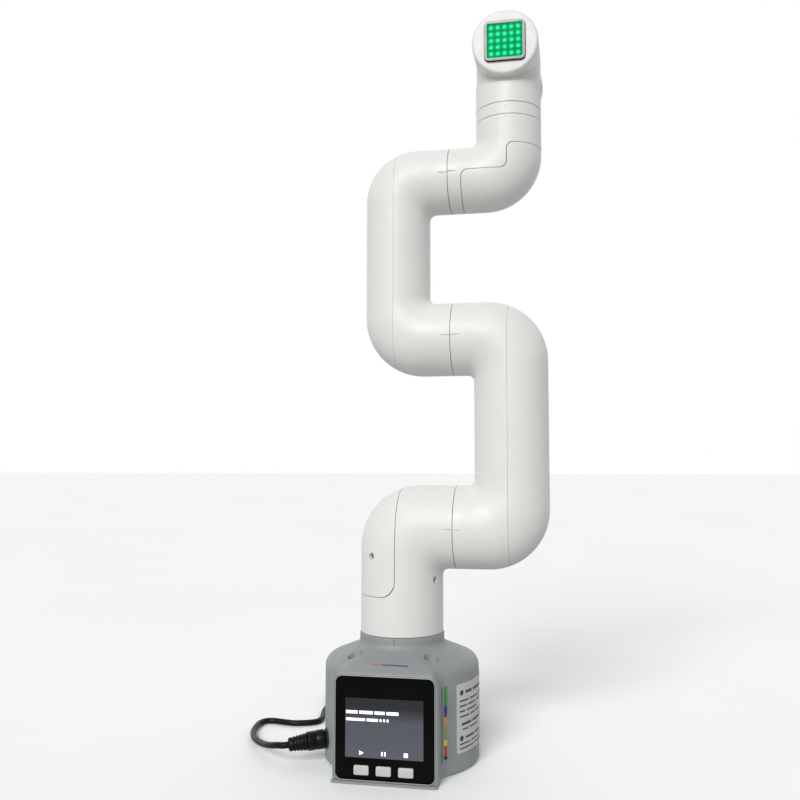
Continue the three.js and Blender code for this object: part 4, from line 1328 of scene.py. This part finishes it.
def add_controller():
    case = controller_square("controller_shell", 0, FRONT_Y, CONTROLLER_BACK)
    cut(case, controller_square("well", 0.4, -60, GLASS_BACK + 0.4))
    cut(case, controller_square("hollow", 1.4, -60, CONTROLLER_BACK - 1.6))
    soften(case, 0.22, 3)
    smooth_piece(case, "base", "button_grey", case_grey, ["controller_case"])

    pane = controller_square("display_front", 0.5, GLASS_FRONT, GLASS_BACK)
    cut(pane, slab("lcd_way", 42.4, 30.9, 0.4, LCD_X, LCD_Z, -60, GLASS_FRONT + 0.12))
    for x in BUTTON_X:
        cut(pane, slab("button_way", 8.6, 5.4, 1.0, x, BUTTON_Z, -60, -40))
    soften(pane, 0.12, 2)
    smooth_piece(pane, "base", "display_black", glass, ["display_glass"])

    panel = slab("lcd_face", 42.3, 30.8, 0.4, LCD_X, LCD_Z, GLASS_FRONT + 0.06, GLASS_FRONT + 0.2)
    piece(panel, "base", "screen", screen, ["lcd_panel"])
    for side, x in zip(("left", "middle", "right"), BUTTON_X):
        cap = slab(f"key_{side}", 8.2, 5, 0.9, x, BUTTON_Z, FRONT_Y - 0.5, GLASS_BACK + 1.2)
        soften(cap, 0.35, 3)
        smooth_piece(cap, f"{side}_button", "button_grey", button_grey, [f"button_{side}"])


def add_screen_marks():
    """Two rows of plain dashes, and a triangle, two bars and a square above the three keys."""
    back, front = GLASS_FRONT + 0.06, GLASS_FRONT + 0.03
    marks = []

    def dash(x, z, width, height):
        marks.append(slab("dash", width, height, 0.2, x, z, front, back, 3))

    for z, height, widths in ((36.6, 1.6, (6.4, 7.4, 5.6, 6.5)), (32.8, 1.4, (10.4, 6.2, 1.0, 1.0, 1.0))):
        x = -21.0
        for width in widths:
            dash(x + width / 2, z, width, height)
            x += width + 0.9
    z = 15.6
    left, middle, right = BUTTON_X
    triangle = [(left - 1.1, z - 1.2), (left + 1.3, z), (left - 1.1, z + 1.2)]
    marks.append(prism("triangle", triangle, "xz", front, back))
    dash(middle - 0.8, z, 0.8, 2.2)
    dash(middle + 0.8, z, 0.8, 2.2)
    dash(right, z, 2.2, 2.2)
    lit = join(marks, "screen_marks")
    piece(lit, "base", "screen", lit_marks)


# ---- Carried-over nodes, stage and light ------------------------------------------------------

KEPT = {
    "bare_metal": metal,
    "servo_black": servo_black,
    "circuit_board": board_green,
    "dark_plastic": dark_plastic,
    "screen": screen,
}


def dress_kept_nodes():
    """Gives the inner CAD nodes, which stay as they are, their materials."""
    slots = {row["node"]: row["material_slot"] for row in frame["record"]["subparts"]}
    for name, obj in frame["nodes"].items():
        look = KEPT.get(slots[name])
        if look is None:
            continue
        for slot in obj.material_slots:
            slot.material = look


SUN_FROM = Vector((-0.16, -0.84, 0.52))  # soft key light from in front and above, a little left
SUN_SPREAD = math.radians(28)
SUN_STRENGTH = 2.25
BACK_LIGHT = 1.0  # pale background
FRONT_LIGHT = 0.42  # dimmer room in front of the arm
LOW_LIGHT = 0.5  # below the table's level


def studio_world():
    """Bright backdrop behind the arm and a dimmer room in front of it and below."""
    world = bpy.data.worlds.new("studio")
    world.use_nodes = True
    tree = world.node_tree
    place = tree.nodes.new("ShaderNodeTexCoord").outputs["Generated"]
    split = tree.nodes.new("ShaderNodeSeparateXYZ")
    tree.links.new(place, split.inputs["Vector"])

    def span(source, low, high, low_out, high_out):
        """Smooth change from one level to another, which may be a socket."""
        node = tree.nodes.new("ShaderNodeMapRange")
        node.interpolation_type = "SMOOTHSTEP"
        values = {"From Min": low, "From Max": high, "To Min": low_out}
        for key, value in values.items():
            node.inputs[key].default_value = value
        if isinstance(high_out, float):
            node.inputs["To Max"].default_value = high_out
        else:
            tree.links.new(high_out, node.inputs["To Max"])
        tree.links.new(source, node.inputs["Value"])
        return node.outputs["Result"]

    level = span(split.outputs["Y"], 0.0, 0.7, FRONT_LIGHT, BACK_LIGHT)
    strength = span(split.outputs["Z"], -0.3, -0.05, LOW_LIGHT, level)
    tree.links.new(strength, tree.nodes["Background"].inputs["Strength"])
    tree.nodes["Background"].inputs["Color"].default_value = (1, 1, 1, 1)
    bpy.context.scene.world = world


def add_stage():
    floor_look = Look("floor_pale")
    tone = floor_look.noise(3, 2)
    floor_look.colour(floor_look.ramp(tone, [(0.3, (0.95, 0.95, 0.95)), (0.7, (0.97, 0.97, 0.97))]))
    floor_look.set(Roughness=0.9, Specular_IOR_Level=0.1)
    half = 12000
    corners = [(-half, -half, 0), (half, -half, 0), (half, half, 0), (-half, half, 0)]
    floor = mesh_object("floor", corners, [(0, 1, 2, 3)])
    floor.data.materials.append(floor_look.material)
    floor.visible_diffuse = False
    floor.visible_glossy = False
    studio_world()
    data = bpy.data.lights.new("key", "SUN")
    data.energy = SUN_STRENGTH
    data.angle = SUN_SPREAD
    key = add_object("key", data)
    key.rotation_mode = "QUATERNION"
    key.rotation_quaternion = SUN_FROM.to_track_quat("Z", "Y")
    bpy.context.scene.view_settings.view_transform = "Standard"


add_camera()
add_cords()
add_shoulder()
add_upper_arm()
add_forearm()
add_wrist()
add_head()
add_led_module()
add_flange()
add_housing()
add_jack()
add_labels()
add_top_strip()
add_controller()
add_screen_marks()
dress_kept_nodes()
add_stage()
